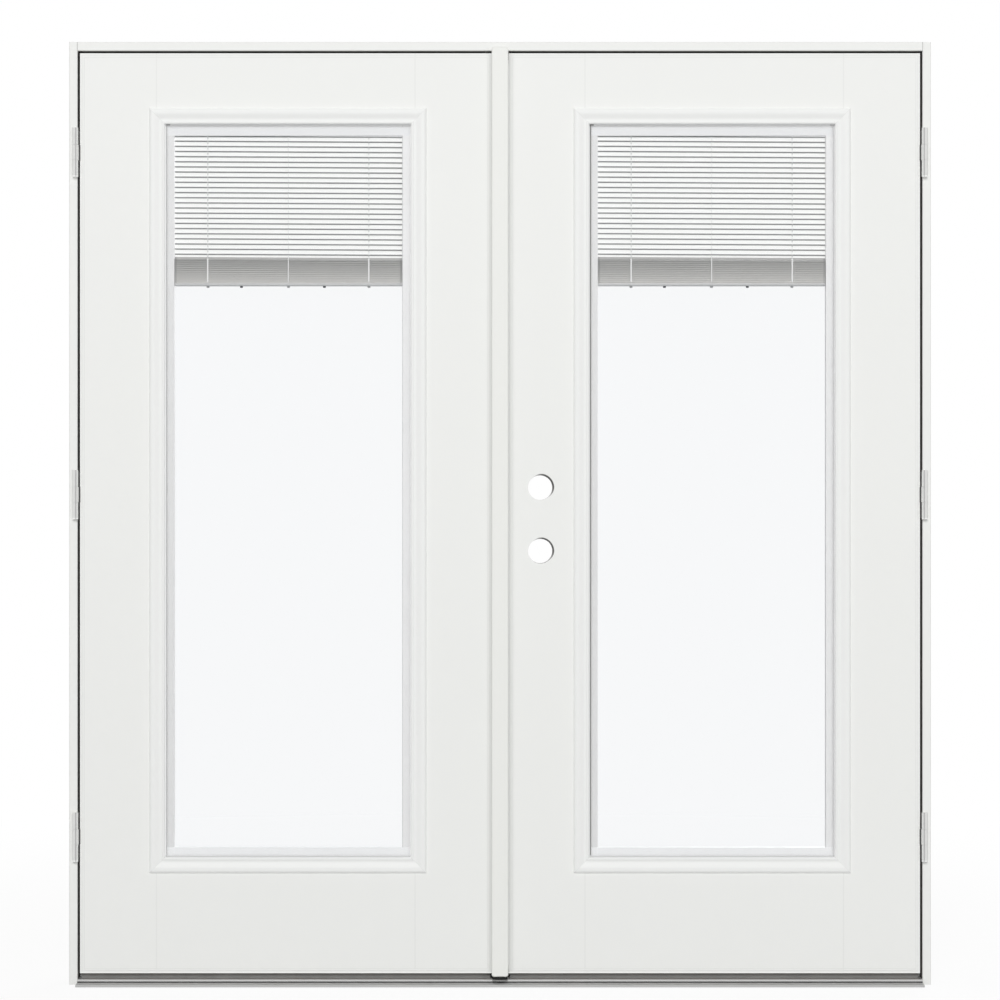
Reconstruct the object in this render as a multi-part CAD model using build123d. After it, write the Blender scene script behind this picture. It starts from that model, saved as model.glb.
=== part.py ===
from build123d import *
from math import cos, radians, sin, tan
import os

# Pair of hinged patio doors in their frame, in millimetres.
# +X is to the right seen from outside, +Y goes indoors, +Z is up.
# The origin is on the floor, midway between the jambs, in the plane of the frame's outdoor edge.

# Whole unit
unit_width = 1892.0
unit_height = 2070.0
frame_depth = 116.0

# Jambs and head
jamb_edge = 18.2
head_edge = 19.2
stop_rise = 13.5
seal_space = 8.0
arris = 1.2

# Sill
sill_nose_reach = 39.0
sill_nose_height = 4.4
sill_nose_slope = 1.0
sill_edge = 1.2
sill_wall = 2.0
sill_groove_height = 2.2
sill_groove_depth = 3.0
sill_lip_reach = 4.0
sill_platform = 12.0
sill_top = 30.0
bumper_gap = 4.5
bumper_width = 14.0
bumper_edge = 1.5
bumper_slope = 4.0
bumper_drop = 2.0

# Leaves
leaf_thickness = 44.45
leaf_setback = 1.0
reveal = 5.5
meeting_half = 18.6
leaf_bottom = 25.3
lock_bevel = 3.0
skin_thickness = 2.0
skin_step = 0.5
skin_border = 6.5
skin_line_width = 1.6
skin_line_depth = 0.4
stile_width = 40.0
top_rail_height = 45.0
bottom_rail_height = 62.0
skin_stile_width = 168.0

# Glazed panel: its place in the leaf, its moulded frame and its glass unit
lite_hinge_margin = 152.2
lite_lock_margin = 142.8
lite_bottom_margin = 220.0
lite_top_margin = 121.2
lite_face = 34.0
lite_edge = 1.6
lite_crest = 7.0
lite_cove = 3.4
lite_bead = 5.2
moulding_shares = (0.19, 0.34, 0.59, 0.82)
lite_overlap = 21.8
leg_clearance = 1.0
glass_bite = 9.0
pane_thickness = 3.2
unit_thickness = 25.4
spacer_inset = 3.0
channel_view = 19.5
bottom_channel_view = 20.5
top_channel_view = 4.5

# Blind between the panes
headrail_height = 19.7
headrail_depth = 18.0
headrail_bite = 4.0
slat_chord = 15.5
slat_crown = 1.3
slat_thickness = 0.4
slat_stations = (-1.0, -0.4, 0.4, 1.0)
slat_pitch = 11.26
slat_tilt = 52.0
hanging_slats = 24
slat_end_gap = 0.6
rail_edge = 1.5
stack_height = 51.8
stack_ribs = 9
stack_rib_depth = 0.7
bottom_rail_size = 6.8
plug_radius = 3.2
plug_height = 1.6
plug_sides = 8
ladder_share = 0.354
cord_width = 1.0

# Operators on the indoor panel frame
track_centre = 24.5
track_width = 5.0
track_depth = 4.2
track_end_margin = 70.0
knob_width = 11.0
knob_length = 26.0
knob_height = 8.0
knob_stem_inset = 4.0
knob_edge = 2.0
lift_knob_height = 413.0
tilt_knob_drop = 278.8

# Hinges
hinge_from_bottom = 299.7
hinge_from_top = 218.3
hinge_length = 101.6
hinge_plate = 2.4
hinge_plate_reach = 38.0
knuckle_count = 3
knuckle_radius = 6.3
knuckle_gap = 0.3
knuckle_grip = 0.6
pin_radius = 3.175
pin_clearance = 0.05
pin_head_height = 3.0
pin_outboard = 3.6
pin_forward = 7.3

# Lock preparation of the right leaf
backset = 69.85
cross_bore_radius = 26.9875
edge_bore_radius = 12.7
lock_bore_height = 951.9
bore_spacing = 139.7
faceplate_width = 25.4
faceplate_height = 57.15
faceplate_depth = 3.0
lock_block_width = 66.0
lock_block_margin = 70.0

# Astragal: the meeting strip on the left leaf
astragal_width = 36.5
astragal_depth = 14.1
astragal_overhang = 6.3
astragal_rise = 12.7
astragal_arris = 1.8
astragal_corner_radius = 6.0
astragal_foot = 3.0
astragal_seat = 0.5
astragal_edge = 13.5
astragal_seal_gap = 0.5
astragal_seal_depth = 8.7
boot_half_width = 16.5
boot_lip_drop = 2.5
boot_lip_height = 3.0
boot_bulge = 1.5
boot_shoulder = 6.0
seal_rounding = 1.5

# Flush bolts inside the astragal
bolt_radius = 4.75
bolt_clearance = 0.08
bolt_length = 300.0
bolt_throw = 12.7
bolt_setback = 1.0
bolt_centre = -3.5
bolt_tip_over_sill = 3.2
thumb_width = 6.0
thumb_height = 20.0
thumb_reach = 2.0
thumb_margin = 20.0
bolt_pocket = 14.0
head_pocket_depth = 14.0
sill_pocket_floor = 1.5
strike_length = 60.0
strike_width = 24.0
strike_thickness = 2.0

# Seals
running_gap = 0.3
seal_width = 12.5
kerf_width = 2.4
kerf_depth = 7.0
sill_seal_height = 9.0
sill_seal_drop = 3.0
sill_seal_nose = 1.7
sweep_front = 21.0
sweep_width = 20.0
sweep_fin = 1.6
sweep_base = 2.4
sweep_inset = 1.0

# Places worked out from the sizes above
half_width = unit_width / 2
jamb_face = half_width - jamb_edge
stop_face = jamb_face - stop_rise
head_under = unit_height - head_edge
head_stop_under = head_under - stop_rise
leaf_front = leaf_setback
leaf_back = leaf_setback + leaf_thickness
leaf_mid = (leaf_front + leaf_back) / 2
stop_front = leaf_back + seal_space
leaf_outer = jamb_face - reveal
leaf_top = head_under - reveal
core_front = leaf_front + skin_thickness
core_back = leaf_back - skin_thickness
bumper_front = leaf_back + bumper_gap
hinge_low = leaf_bottom + hinge_from_bottom
hinge_high = leaf_top - hinge_from_top
hinge_heights = (hinge_low, (hinge_low + hinge_high) / 2, hinge_high)
lite_outer = leaf_outer - lite_hinge_margin
lite_inner = meeting_half + lite_lock_margin
lite_width = lite_outer - lite_inner
lite_centre = (lite_outer + lite_inner) / 2
lite_bottom = leaf_bottom + lite_bottom_margin
lite_height = leaf_top - lite_top_margin - lite_bottom
lite_middle = lite_bottom + lite_height / 2
lip_width = lite_width - 2 * lite_face
lip_height = lite_height - 2 * lite_face
glass_width = lip_width + 2 * glass_bite
glass_height = lip_height + 2 * glass_bite
cutout_width = lite_width - 2 * lite_overlap
cutout_height = lite_height - 2 * lite_overlap
pane_front = leaf_mid - unit_thickness / 2
pane_back = leaf_mid + unit_thickness / 2
cavity_front = pane_front + pane_thickness
cavity_back = pane_back - pane_thickness
clear_width = lip_width - 2 * channel_view
clear_bottom = lite_middle - lip_height / 2 + bottom_channel_view
clear_top = lite_middle + lip_height / 2 - top_channel_view
headrail_half = lip_width / 2 + headrail_bite
headrail_low = clear_top - headrail_height
pin_x = jamb_face + pin_outboard
pin_y = -pin_forward
deadbolt_bore_height = lock_bore_height + bore_spacing
astragal_half = astragal_width / 2
astragal_front = -astragal_depth - running_gap
astragal_base = leaf_front + astragal_seat
track_floor = leaf_back + lite_cove - track_depth
left, right = -1, 1


# Basic solids
def block(x0, x1, y0, y1, z0, z1):
    """A box between two opposite corners, given in any order."""
    size = (abs(x1 - x0), abs(y1 - y0), abs(z1 - z0))
    return Pos((x0 + x1) / 2, (y0 + y1) / 2, (z0 + z1) / 2) * Box(*size)


def rod(x, y, z0, z1, radius):
    """A vertical cylinder."""
    return Pos(x, y, (z0 + z1) / 2) * Cylinder(radius, abs(z1 - z0))


def plan_prism(points, z0, z1):
    """A closed outline in plan, raised from z0 to z1."""
    outline = make_face(Polyline(*points, close=True))
    return Pos(0, 0, z0) * extrude(outline, z1 - z0, dir=(0, 0, 1))


def side_prism(points, x0, x1):
    """A closed outline of (y, z) points, carried along X from x0 to x1."""
    outline = make_face(Polyline(*[(x0, y, z) for y, z in points], close=True))
    return extrude(outline, x1 - x0, dir=(1, 0, 0))


def save(name, *solids):
    """Write one sub-part, or a group of like solids, to its own file."""
    shape = solids[0] if len(solids) == 1 else Compound(children=list(solids))
    shape.label = name
    export_step(shape, f"parts/{name}.step")


# Hinges
def hinge_spans(height):
    """Bottom and top of each knuckle of the hinge centred at this height."""
    step = hinge_length / knuckle_count
    base = height - hinge_length / 2
    return [(base + i * step, base + (i + 1) * step) for i in range(knuckle_count)]


def hinge_plate_blank(side, face_x, inward, front, height):
    """The square plate let into an edge: from face_x towards inward, back from front."""
    x0, x1 = side * face_x, side * (face_x + inward * hinge_plate)
    return block(x0, x1, front, leaf_front + hinge_plate_reach,
                 height - hinge_length / 2, height + hinge_length / 2)


def knuckles(height, first):
    """Bottom and top of every second knuckle from the first, less the gap to the next one."""
    spans = []
    for i, (z0, z1) in enumerate(hinge_spans(height)):
        if i % 2 == first:
            low = z0 + (knuckle_gap / 2 if i > 0 else 0)
            high = z1 - (knuckle_gap / 2 if i < knuckle_count - 1 else 0)
            spans.append((low, high))
    return spans


def jamb_hinge_leaf(side, height):
    """Plate let into the jamb, two knuckles, and the fixed pin with button heads that is one with them."""
    centre = side * pin_x
    leaf = hinge_plate_blank(side, jamb_face, 1, 0.0, height)
    arm_front = pin_y + knuckle_radius * knuckle_grip
    for low, high in knuckles(height, 0):
        leaf = leaf + block(side * jamb_face, side * (jamb_face + hinge_plate), 0.0, arm_front, low, high)
        leaf = leaf + rod(centre, pin_y, low, high, knuckle_radius)
    low, high = height - hinge_length / 2, height + hinge_length / 2
    leaf = leaf + rod(centre, pin_y, low - pin_head_height, low, knuckle_radius)
    leaf = leaf + rod(centre, pin_y, high, high + pin_head_height, knuckle_radius)
    return leaf + rod(centre, pin_y, low, high, pin_radius)


def door_hinge_leaf(side, height):
    """Plate let into the leaf's edge, with a swaged arm to the knuckle that turns on the pin."""
    centre = side * pin_x
    leaf = hinge_plate_blank(side, leaf_outer, -1, leaf_front, height)
    start = Vector(leaf_outer - hinge_plate / 2, leaf_front + hinge_plate / 3)
    end = Vector(pin_x - knuckle_radius * knuckle_grip, pin_y + knuckle_radius * knuckle_grip)
    along = (end - start).normalized()
    across = Vector(-along.Y, along.X) * (hinge_plate / 2)
    corners = [start + across, end + across, end - across, start - across]
    for low, high in knuckles(height, 1):
        leaf = leaf + plan_prism([(side * p.X, p.Y) for p in corners], low, high)
        leaf = leaf + rod(centre, pin_y, low, high, knuckle_radius)
        leaf = leaf - rod(centre, pin_y, low, high, pin_radius + pin_clearance)
    return leaf


# Frame
def jamb(side):
    """Rabbeted jamb leg, full height, with its stop cut back for the head and the sill."""
    outline = [(half_width, 0), (half_width, frame_depth), (stop_face, frame_depth), (stop_face, stop_front),
               (jamb_face, stop_front), (jamb_face, 0)]
    leg = plan_prism([(side * x, y) for x, y in outline], 0, unit_height)
    leg = chamfer(leg.edges().filter_by(Axis.Z).sort_by(Axis.Y)[:2], arris)
    for z0, z1 in ((head_stop_under, unit_height), (0, sill_top)):
        leg = leg - block(side * jamb_face, side * stop_face, 0, frame_depth, z0, z1)
    leg = leg - block(side * jamb_face, side * (jamb_face - kerf_width), stop_front, stop_front + kerf_depth,
                      sill_top, head_stop_under)
    for height in hinge_heights:
        leg = leg - hinge_plate_blank(side, jamb_face, 1, -1.0, height)
    return leg


def head_jamb():
    """Rabbeted head between the jamb legs, with a pocket for the top flush bolt."""
    outline = [(0, unit_height), (frame_depth, unit_height), (frame_depth, head_stop_under),
               (stop_front, head_stop_under), (stop_front, head_under), (0, head_under)]
    head = side_prism(outline, -jamb_face, jamb_face)
    head = chamfer(head.edges().filter_by(Axis.X).sort_by(Axis.Y)[:2], arris)
    head = head - block(-jamb_face, jamb_face, stop_front, stop_front + kerf_depth,
                        head_under, head_under - kerf_width)
    pocket = bolt_pocket / 2
    head = head - block(bolt_centre - pocket, bolt_centre + pocket, leaf_mid - pocket, leaf_mid + pocket,
                        head_under, head_under + head_pocket_depth)
    return head - strike_blank(0)


def strike_blank(hole):
    """Strike plate let into the head, with a square hole of the given size."""
    plate = block(bolt_centre - strike_length / 2, bolt_centre + strike_length / 2,
                  leaf_mid - strike_width / 2, leaf_mid + strike_width / 2,
                  head_under, head_under + strike_thickness)
    if hole:
        plate = plate - block(bolt_centre - hole / 2, bolt_centre + hole / 2, leaf_mid - hole / 2,
                              leaf_mid + hole / 2, head_under - 1, head_under + strike_thickness + 1)
    return plate


def bolt_sill_pocket():
    """Space in the sill under the bottom flush bolt."""
    pocket = bolt_pocket / 2
    return block(bolt_centre - pocket, bolt_centre + pocket, leaf_mid - pocket, leaf_mid + pocket,
                 sill_pocket_floor, sill_top)


def sill_base():
    """Composite substrate under the metal deck."""
    step = bumper_front + sill_wall
    outline = [(0, 0), (frame_depth, 0), (frame_depth, sill_top - bumper_drop - sill_wall),
               (step, sill_top - bumper_drop - sill_wall), (step, sill_platform - sill_wall),
               (0, sill_platform - sill_wall)]
    return side_prism(outline, -jamb_face, jamb_face) - bolt_sill_pocket()


def sill_deck():
    """Extruded deck: hollow nose, drip groove, lip and platform."""
    groove_low = sill_nose_height + sill_nose_slope
    groove_top = groove_low + sill_groove_height
    outline = [
        (-sill_nose_reach, 0), (-sill_nose_reach, sill_nose_height - sill_edge),
        (-sill_nose_reach + sill_edge, sill_nose_height), (-sill_lip_reach, groove_low),
        (-sill_lip_reach + sill_groove_depth, groove_low),
        (-sill_lip_reach + sill_groove_depth, groove_top), (-sill_lip_reach, groove_top),
        (-sill_lip_reach, sill_platform - sill_edge), (-sill_lip_reach + sill_edge, sill_platform),
        (bumper_front + sill_wall, sill_platform), (bumper_front + sill_wall, sill_platform - sill_wall),
        (0, sill_platform - sill_wall), (0, 0)]
    deck = side_prism(outline, -jamb_face, jamb_face)
    hollow = block(-jamb_face - 1, jamb_face + 1, -sill_nose_reach + sill_wall, -sill_wall,
                   -1, sill_nose_height - sill_wall)
    return deck - hollow - bolt_sill_pocket()


def sill_riser():
    """Bumper and indoor step, seated on the back of the deck and on the base."""
    step = bumper_front + sill_wall
    low_top = sill_top - bumper_drop
    outline = [
        (bumper_front, sill_platform), (bumper_front, sill_top - bumper_edge),
        (bumper_front + bumper_edge, sill_top), (bumper_front + bumper_width, sill_top),
        (bumper_front + bumper_width + bumper_slope, low_top), (frame_depth, low_top),
        (frame_depth, low_top - sill_wall), (step, low_top - sill_wall), (step, sill_platform)]
    return side_prism(outline, -jamb_face, jamb_face)


def side_weatherstrip(side):
    """Foam-filled strip on the jamb's stop, with its barb in the kerf."""
    z0, z1 = sill_top + running_gap, head_under
    pad = block(side * jamb_face, side * (jamb_face - seal_width), leaf_back + running_gap, stop_front,
                z0, z1)
    barb = block(side * jamb_face, side * (jamb_face - kerf_width), stop_front, stop_front + kerf_depth,
                 z0, head_stop_under)
    return pad + barb


def head_weatherstrip():
    """The same strip under the head, between the two side strips."""
    reach = jamb_face - seal_width
    pad = block(-reach, reach, leaf_back + running_gap, stop_front, head_under - seal_width, head_under)
    barb = block(-reach, reach, stop_front, stop_front + kerf_depth, head_under - kerf_width, head_under)
    return pad + barb


def sill_seal():
    """Bulb seal in front of the bumper, behind the foot of both leaves."""
    z1 = sill_top - sill_seal_drop
    z0 = z1 - sill_seal_height
    front = leaf_back + running_gap
    shoulder = front + sill_seal_nose
    outline = [(bumper_front, z0), (bumper_front, z1), (shoulder, z1), (front, z1 - sill_seal_nose),
               (front, z0 + sill_seal_nose), (shoulder, z0)]
    return side_prism(outline, -stop_face, stop_face)


# Leaf slab
def lock_edge(side):
    """Plan outline of the lock edge: square on the left leaf, bevelled on the right one."""
    slope = tan(radians(lock_bevel)) if side == right else 0.0
    return lambda y: side * (meeting_half + (y - leaf_front) * slope)


def leaf_panel(side, y0, y1, z0, z1, inset=0.0):
    """A slice of the leaf between two depths, following the bevel of its lock edge."""
    edge = lock_edge(side)
    outer = side * (leaf_outer - inset)
    points = [(edge(y0) + side * inset, y0), (outer, y0), (outer, y1), (edge(y1) + side * inset, y1)]
    return plan_prism(points, z0, z1)


def cutout(side):
    """Hole through the slab for the glazed panel."""
    x = side * lite_centre
    return block(x - cutout_width / 2, x + cutout_width / 2, 0, leaf_back + 1,
                 lite_middle - cutout_height / 2, lite_middle + cutout_height / 2)


def cross_bore(height):
    """Lock bore through the right leaf's face."""
    hole = Rot(90, 0, 0) * Cylinder(cross_bore_radius, 2 * leaf_thickness)
    return Pos(meeting_half + backset, leaf_mid, height) * hole


def edge_bore(height):
    """Latch bore from the right leaf's edge into the cross bore, with its faceplate recess."""
    hole = Rot(0, 90, 0) * Cylinder(edge_bore_radius, backset)
    bore = Pos(meeting_half + backset / 2, leaf_mid, height) * hole
    edge = lock_edge(right)
    y0, y1 = leaf_mid - faceplate_width / 2, leaf_mid + faceplate_width / 2
    points = [(0, y0), (edge(y0) + faceplate_depth, y0), (edge(y1) + faceplate_depth, y1), (0, y1)]
    plate = plan_prism(points, height - faceplate_height / 2, height + faceplate_height / 2)
    return bore + plate


def drill(side, solid, edges=True):
    """Take the lock bores out of a piece of the right leaf."""
    if side == left:
        return solid
    for height in (lock_bore_height, deadbolt_bore_height):
        solid = solid - cross_bore(height)
        if edges:
            solid = solid - edge_bore(height)
    return solid


def hinge_pockets(side, solid):
    """Take the hinge mortises out of a piece at the leaf's hinge edge."""
    for height in hinge_heights:
        solid = solid - hinge_plate_blank(side, leaf_outer, -1, leaf_front - 1, height)
    return solid


def skin(side, outdoor):
    """Moulded skin: a thin sheet, its field raised inside a narrow border, scored at the stile joints."""
    face, back, inward = (leaf_front, core_front, 1) if outdoor else (leaf_back, core_back, -1)
    sheet = face + inward * skin_step
    panel = leaf_panel(side, *sorted((sheet, back)), leaf_bottom, leaf_top)
    field = leaf_panel(side, *sorted((face, sheet)), leaf_bottom + skin_border, leaf_top - skin_border,
                       inset=skin_border)
    panel = panel + field - cutout(side)
    score = sorted((face, face + inward * skin_line_depth))
    for line in (leaf_outer - skin_stile_width, meeting_half + skin_stile_width):
        x0, x1 = side * (line - skin_line_width / 2), side * (line + skin_line_width / 2)
        for z0, z1 in ((leaf_bottom + skin_border, lite_bottom + lite_face / 2),
                       (lite_bottom + lite_height - lite_face / 2, leaf_top - skin_border)):
            panel = panel - block(x0, x1, *score, z0, z1)
    return hinge_pockets(side, drill(side, panel, edges=False))


def hinge_stile(side):
    """Stile under the hinges."""
    stile = block(side * leaf_outer, side * (leaf_outer - stile_width), core_front, core_back,
                  leaf_bottom, leaf_top)
    return hinge_pockets(side, stile)


def lock_stile(side):
    """Stile at the meeting edge, bored for the latches on the right leaf."""
    edge = lock_edge(side)
    inner = side * (meeting_half + stile_width)
    points = [(edge(core_front), core_front), (inner, core_front), (inner, core_back),
              (edge(core_back), core_back)]
    stile = plan_prism(points, leaf_bottom, leaf_top)
    if side == right:
        for height in (lock_bore_height, deadbolt_bore_height):
            stile = stile - edge_bore(height)
    return stile


def rail(side, z0, z1):
    """Rail between the stiles, or the space it fills."""
    outer, inner = side * (leaf_outer - stile_width), side * (meeting_half + stile_width)
    return block(outer, inner, core_front, core_back, z0, z1)


def lock_block_ends():
    """Bottom and top of the solid block behind the lock bores."""
    return lock_bore_height - lock_block_margin, deadbolt_bore_height + lock_block_margin


def lock_block_blank():
    """Block behind the lock bores of the right leaf, before it is drilled."""
    start = meeting_half + stile_width
    return block(start, start + lock_block_width, core_front, core_back, *lock_block_ends())


def core(side):
    """Foam between the stiles and rails, round the cut-out."""
    z0, z1 = leaf_bottom + bottom_rail_height, leaf_top - top_rail_height
    foam = rail(side, z0, z1) - cutout(side)
    if side == right:
        foam = foam - lock_block_blank()
    return foam


def bottom_sweep(side):
    """Vinyl sweep with three fins that run just over the sill's platform."""
    low = sill_platform + running_gap
    pitch = (sweep_width - sweep_fin) / 2
    far = side * (leaf_outer - sweep_inset)
    near = side * (meeting_half + leaf_thickness * tan(radians(lock_bevel)) + sweep_inset)
    sweep = block(far, near, sweep_front, sweep_front + sweep_width, leaf_bottom - sweep_base, leaf_bottom)
    for i in range(3):
        y = sweep_front + i * pitch
        sweep = sweep + block(far, near, y, y + sweep_fin, low, leaf_bottom - sweep_base)
    return sweep


# Glazed panel
def moulding_outline():
    """Section of the panel frame as (inward, outward) points: ogee, cove, inner bead and glazing leg."""
    leg_start = lite_overlap + leg_clearance
    depth = pane_front - leaf_front
    crest_start, crest_end, cove_start, bead_start = [lite_face * share for share in moulding_shares]
    cove_end = lite_cove + (lite_bead - lite_cove) / 4
    slope_end = lite_cove + (lite_crest - lite_cove) / 4
    shoulder = ThreePointArc((0, lite_edge), (crest_start / 3, lite_edge + 0.7 * (lite_crest - lite_edge)),
                             (crest_start, lite_crest))
    crest = Line((crest_start, lite_crest), (crest_end, lite_crest))
    ogee = ThreePointArc((crest_end, lite_crest),
                         ((crest_end + cove_start) / 2, slope_end + 0.6 * (lite_crest - slope_end)),
                         (cove_start, slope_end))
    cove = ThreePointArc((cove_start, slope_end), ((cove_start + bead_start) / 2, lite_cove),
                         (bead_start, cove_end))
    bead = ThreePointArc((bead_start, cove_end), ((bead_start + lite_face) / 2, lite_bead),
                         (lite_face, lite_cove))
    leg = Polyline((lite_face, lite_cove), (lite_face, -depth), (leg_start, -depth), (leg_start, 0), (0, 0),
                   (0, lite_edge))
    return make_face(Curve() + [shoulder, crest, ogee, cove, bead, leg])


def moulding_bar(length):
    """One mitred bar: the section's inward axis is +Y, its outward axis +Z, and it runs along X."""
    section = Plane.YZ * moulding_outline()
    bar = Pos(-length / 2, 0, 0) * extrude(section, length, dir=(1, 0, 0))
    trapezium = make_face(Polyline((-length / 2, 0), (length / 2, 0), (length / 2 - lite_face, lite_face),
                                   (-length / 2 + lite_face, lite_face), close=True))
    depth = pane_front - leaf_front
    return bar & (Pos(0, 0, -depth - 1) * extrude(trapezium, depth + lite_crest + 2, dir=(0, 0, 1)))


def moulded_ring():
    """Four mitred bars round a rectangle in the XY plane, outward side up."""
    bars = []
    for turn in range(4):
        length = lite_width if turn % 2 == 0 else lite_height
        across = lite_height if turn % 2 == 0 else lite_width
        bars.append(Rot(0, 0, 90 * turn) * Pos(0, -across / 2, 0) * moulding_bar(length))
    return bars[0] + bars[1] + bars[2] + bars[3]


def lite_frame(side, outdoor, blank):
    """The moulded ring set on one face of a leaf."""
    if outdoor:
        return Pos(side * lite_centre, leaf_front, lite_middle) * Rot(90, 0, 0) * blank
    frame = Pos(side * lite_centre, leaf_back, lite_middle) * Rot(-90, 0, 0) * blank
    for reach in (-1, 1):
        x = side * lite_centre + reach * (lite_width / 2 - track_centre)
        frame = frame - block(x - track_width / 2, x + track_width / 2, track_floor, leaf_back + lite_crest,
                              lite_bottom + track_end_margin, lite_bottom + lite_height - track_end_margin)
    return frame


def pane(side, y0):
    """One sheet of glass."""
    x = side * lite_centre
    return block(x - glass_width / 2, x + glass_width / 2, y0, y0 + pane_thickness,
                 lite_middle - glass_height / 2, lite_middle + glass_height / 2)


def spacer(side):
    """Spacer frame between the panes: its wide side channels hold the slats' ends and carry the headrail."""
    x = side * lite_centre
    half = glass_width / 2 - spacer_inset
    z0 = lite_middle - glass_height / 2 + spacer_inset
    z1 = lite_middle + glass_height / 2 - spacer_inset
    outer = block(x - half, x + half, cavity_front, cavity_back, z0, z1)
    outer = outer - block(x - clear_width / 2, x + clear_width / 2, cavity_front - 1, cavity_back + 1,
                          clear_bottom, clear_top)
    return outer - block(x - headrail_half, x + headrail_half, cavity_front - 1, cavity_back + 1,
                         headrail_low, clear_top)


# Blind
slat_span = clear_width - 2 * slat_end_gap
slat_rise = slat_chord / 2 * sin(radians(slat_tilt))
first_slat = headrail_low - slat_rise - running_gap
last_slat = first_slat - (hanging_slats - 1) * slat_pitch
stack_top = last_slat - slat_rise - slat_thickness - running_gap
stack_low = stack_top - stack_height
ladder_spacing = slat_span * ladder_share
ladder_reach = slat_chord / 2 * cos(radians(slat_tilt)) + running_gap + cord_width / 2
ladders = (-ladder_spacing, 0.0, ladder_spacing)


def headrail(side):
    """Box that hangs the blind: it rests on the spacer's side channels, its ends hidden by the panel frame."""
    x = side * lite_centre
    return block(x - headrail_half, x + headrail_half, leaf_mid - headrail_depth / 2,
                 leaf_mid + headrail_depth / 2, headrail_low, clear_top)


def slat(side, height):
    """One crowned slat, its outdoor edge tilted down."""
    half = slat_chord / 2
    crown = [(u * half, slat_crown * (1 - u * u)) for u in slat_stations]
    under = [(y, z - slat_thickness) for y, z in reversed(crown)]
    strip = side_prism(crown + under, -slat_span / 2, slat_span / 2)
    return Pos(side * lite_centre, leaf_mid, height) * Rot(slat_tilt, 0, 0) * strip


def slat_stack(side):
    """The gathered slats as one ribbed pack, notched for the ladder cords."""
    x = side * lite_centre
    depth = slat_chord / 2
    pitch = stack_height / stack_ribs
    front, back = leaf_mid - depth, leaf_mid + depth
    outline = [(back, stack_low)]
    for i in range(stack_ribs):
        z = stack_low + i * pitch
        outline += [(front + stack_rib_depth, z), (front, z + pitch / 2)]
    outline += [(front + stack_rib_depth, stack_top), (back, stack_top)]
    pack = side_prism(outline, x - slat_span / 2, x + slat_span / 2)
    notch = cord_width / 2 + running_gap
    for offset in ladders:
        for way in (-1, 1):
            inner = leaf_mid + way * (ladder_reach - notch)
            pack = pack - block(x + offset - notch, x + offset + notch, inner, leaf_mid + way * (depth + 1),
                                stack_low, stack_top)
    return pack


def ladder_cords(side):
    """Front and back strings of the three ladders, from the headrail to the bottom rail."""
    x = side * lite_centre
    half = cord_width / 2
    return [block(x + offset - half, x + offset + half, leaf_mid + way * ladder_reach - half,
                  leaf_mid + way * ladder_reach + half, stack_low, headrail_low)
            for offset in ladders for way in (-1, 1)]


def bottom_rail(side):
    """Weighted rail under the slats, with a button plug under each cord."""
    x = side * lite_centre
    low = stack_low - bottom_rail_size
    bar = block(x - slat_span / 2, x + slat_span / 2, leaf_mid - slat_chord / 2, leaf_mid + slat_chord / 2,
                low, stack_low)
    bar = chamfer(bar.edges().filter_by(Axis.X), rail_edge)
    plug = extrude(RegularPolygon(plug_radius, plug_sides), plug_height)
    for i in (-2, -1, 0, 1, 2):
        bar = bar + Pos(x + i * ladder_spacing / 2, leaf_mid, low - plug_height) * plug
    return bar


def operator_knob(side, reach, height):
    """Knob in a track of the indoor frame; reach is -1 or 1 for the track to the left or right."""
    x = side * lite_centre + reach * (lite_width / 2 - track_centre)
    knob_low = leaf_back + lite_bead + running_gap
    z0, z1 = height - knob_length / 2, height + knob_length / 2
    knob = block(x - knob_width / 2, x + knob_width / 2, knob_low, knob_low + knob_height, z0, z1)
    knob = chamfer(knob.edges().group_by(Axis.Y)[-1], knob_edge)
    half = track_width / 2 - running_gap
    stem = block(x - half, x + half, track_floor + running_gap, knob_low,
                 z0 + knob_stem_inset, z1 - knob_stem_inset)
    return knob + stem


# Astragal
def astragal_body():
    """Core of the meeting strip, fixed to the left leaf's edge and bored for the flush bolts."""
    body = block(-meeting_half, astragal_edge, astragal_base, leaf_back, leaf_bottom, leaf_top)
    hole = bolt_radius + bolt_clearance
    low, high = bolt_ends()
    body = body - rod(bolt_centre, leaf_mid, sill_platform, low[1] + running_gap, hole)
    body = body - rod(bolt_centre, leaf_mid, high[0] - running_gap, leaf_top, hole)
    half = thumb_width / 2 + running_gap
    for z0, z1 in (thumb_slot(bottom_thumb(), -bolt_throw), thumb_slot(top_thumb(), bolt_throw)):
        body = body - block(bolt_centre, astragal_edge, leaf_mid - half, leaf_mid + half, z0, z1)
    return body


def bolt_ends():
    """Bottom and top of each flush bolt, drawn back as it rests."""
    tip = sill_platform + bolt_tip_over_sill
    top = leaf_top - bolt_setback
    return (tip, tip + bolt_length), (top - bolt_length, top)


def bottom_thumb():
    """Foot of the bottom bolt's thumb piece."""
    return bolt_ends()[0][1] - thumb_margin - thumb_height


def top_thumb():
    """Foot of the top bolt's thumb piece."""
    return bolt_ends()[1][0] + thumb_margin


def thumb_slot(height, travel):
    """Slot that the thumb piece at this height needs for its travel."""
    low, high = height + min(0, travel), height + thumb_height + max(0, travel)
    return low - running_gap, high + running_gap


def flush_bolt(z0, z1, thumb_low):
    """Round bolt with the thumb piece that slides it."""
    bolt = rod(bolt_centre, leaf_mid, z0, z1, bolt_radius)
    thumb = block(bolt_centre, astragal_edge + thumb_reach, leaf_mid - thumb_width / 2,
                  leaf_mid + thumb_width / 2, thumb_low, thumb_low + thumb_height)
    return bolt + thumb


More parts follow.
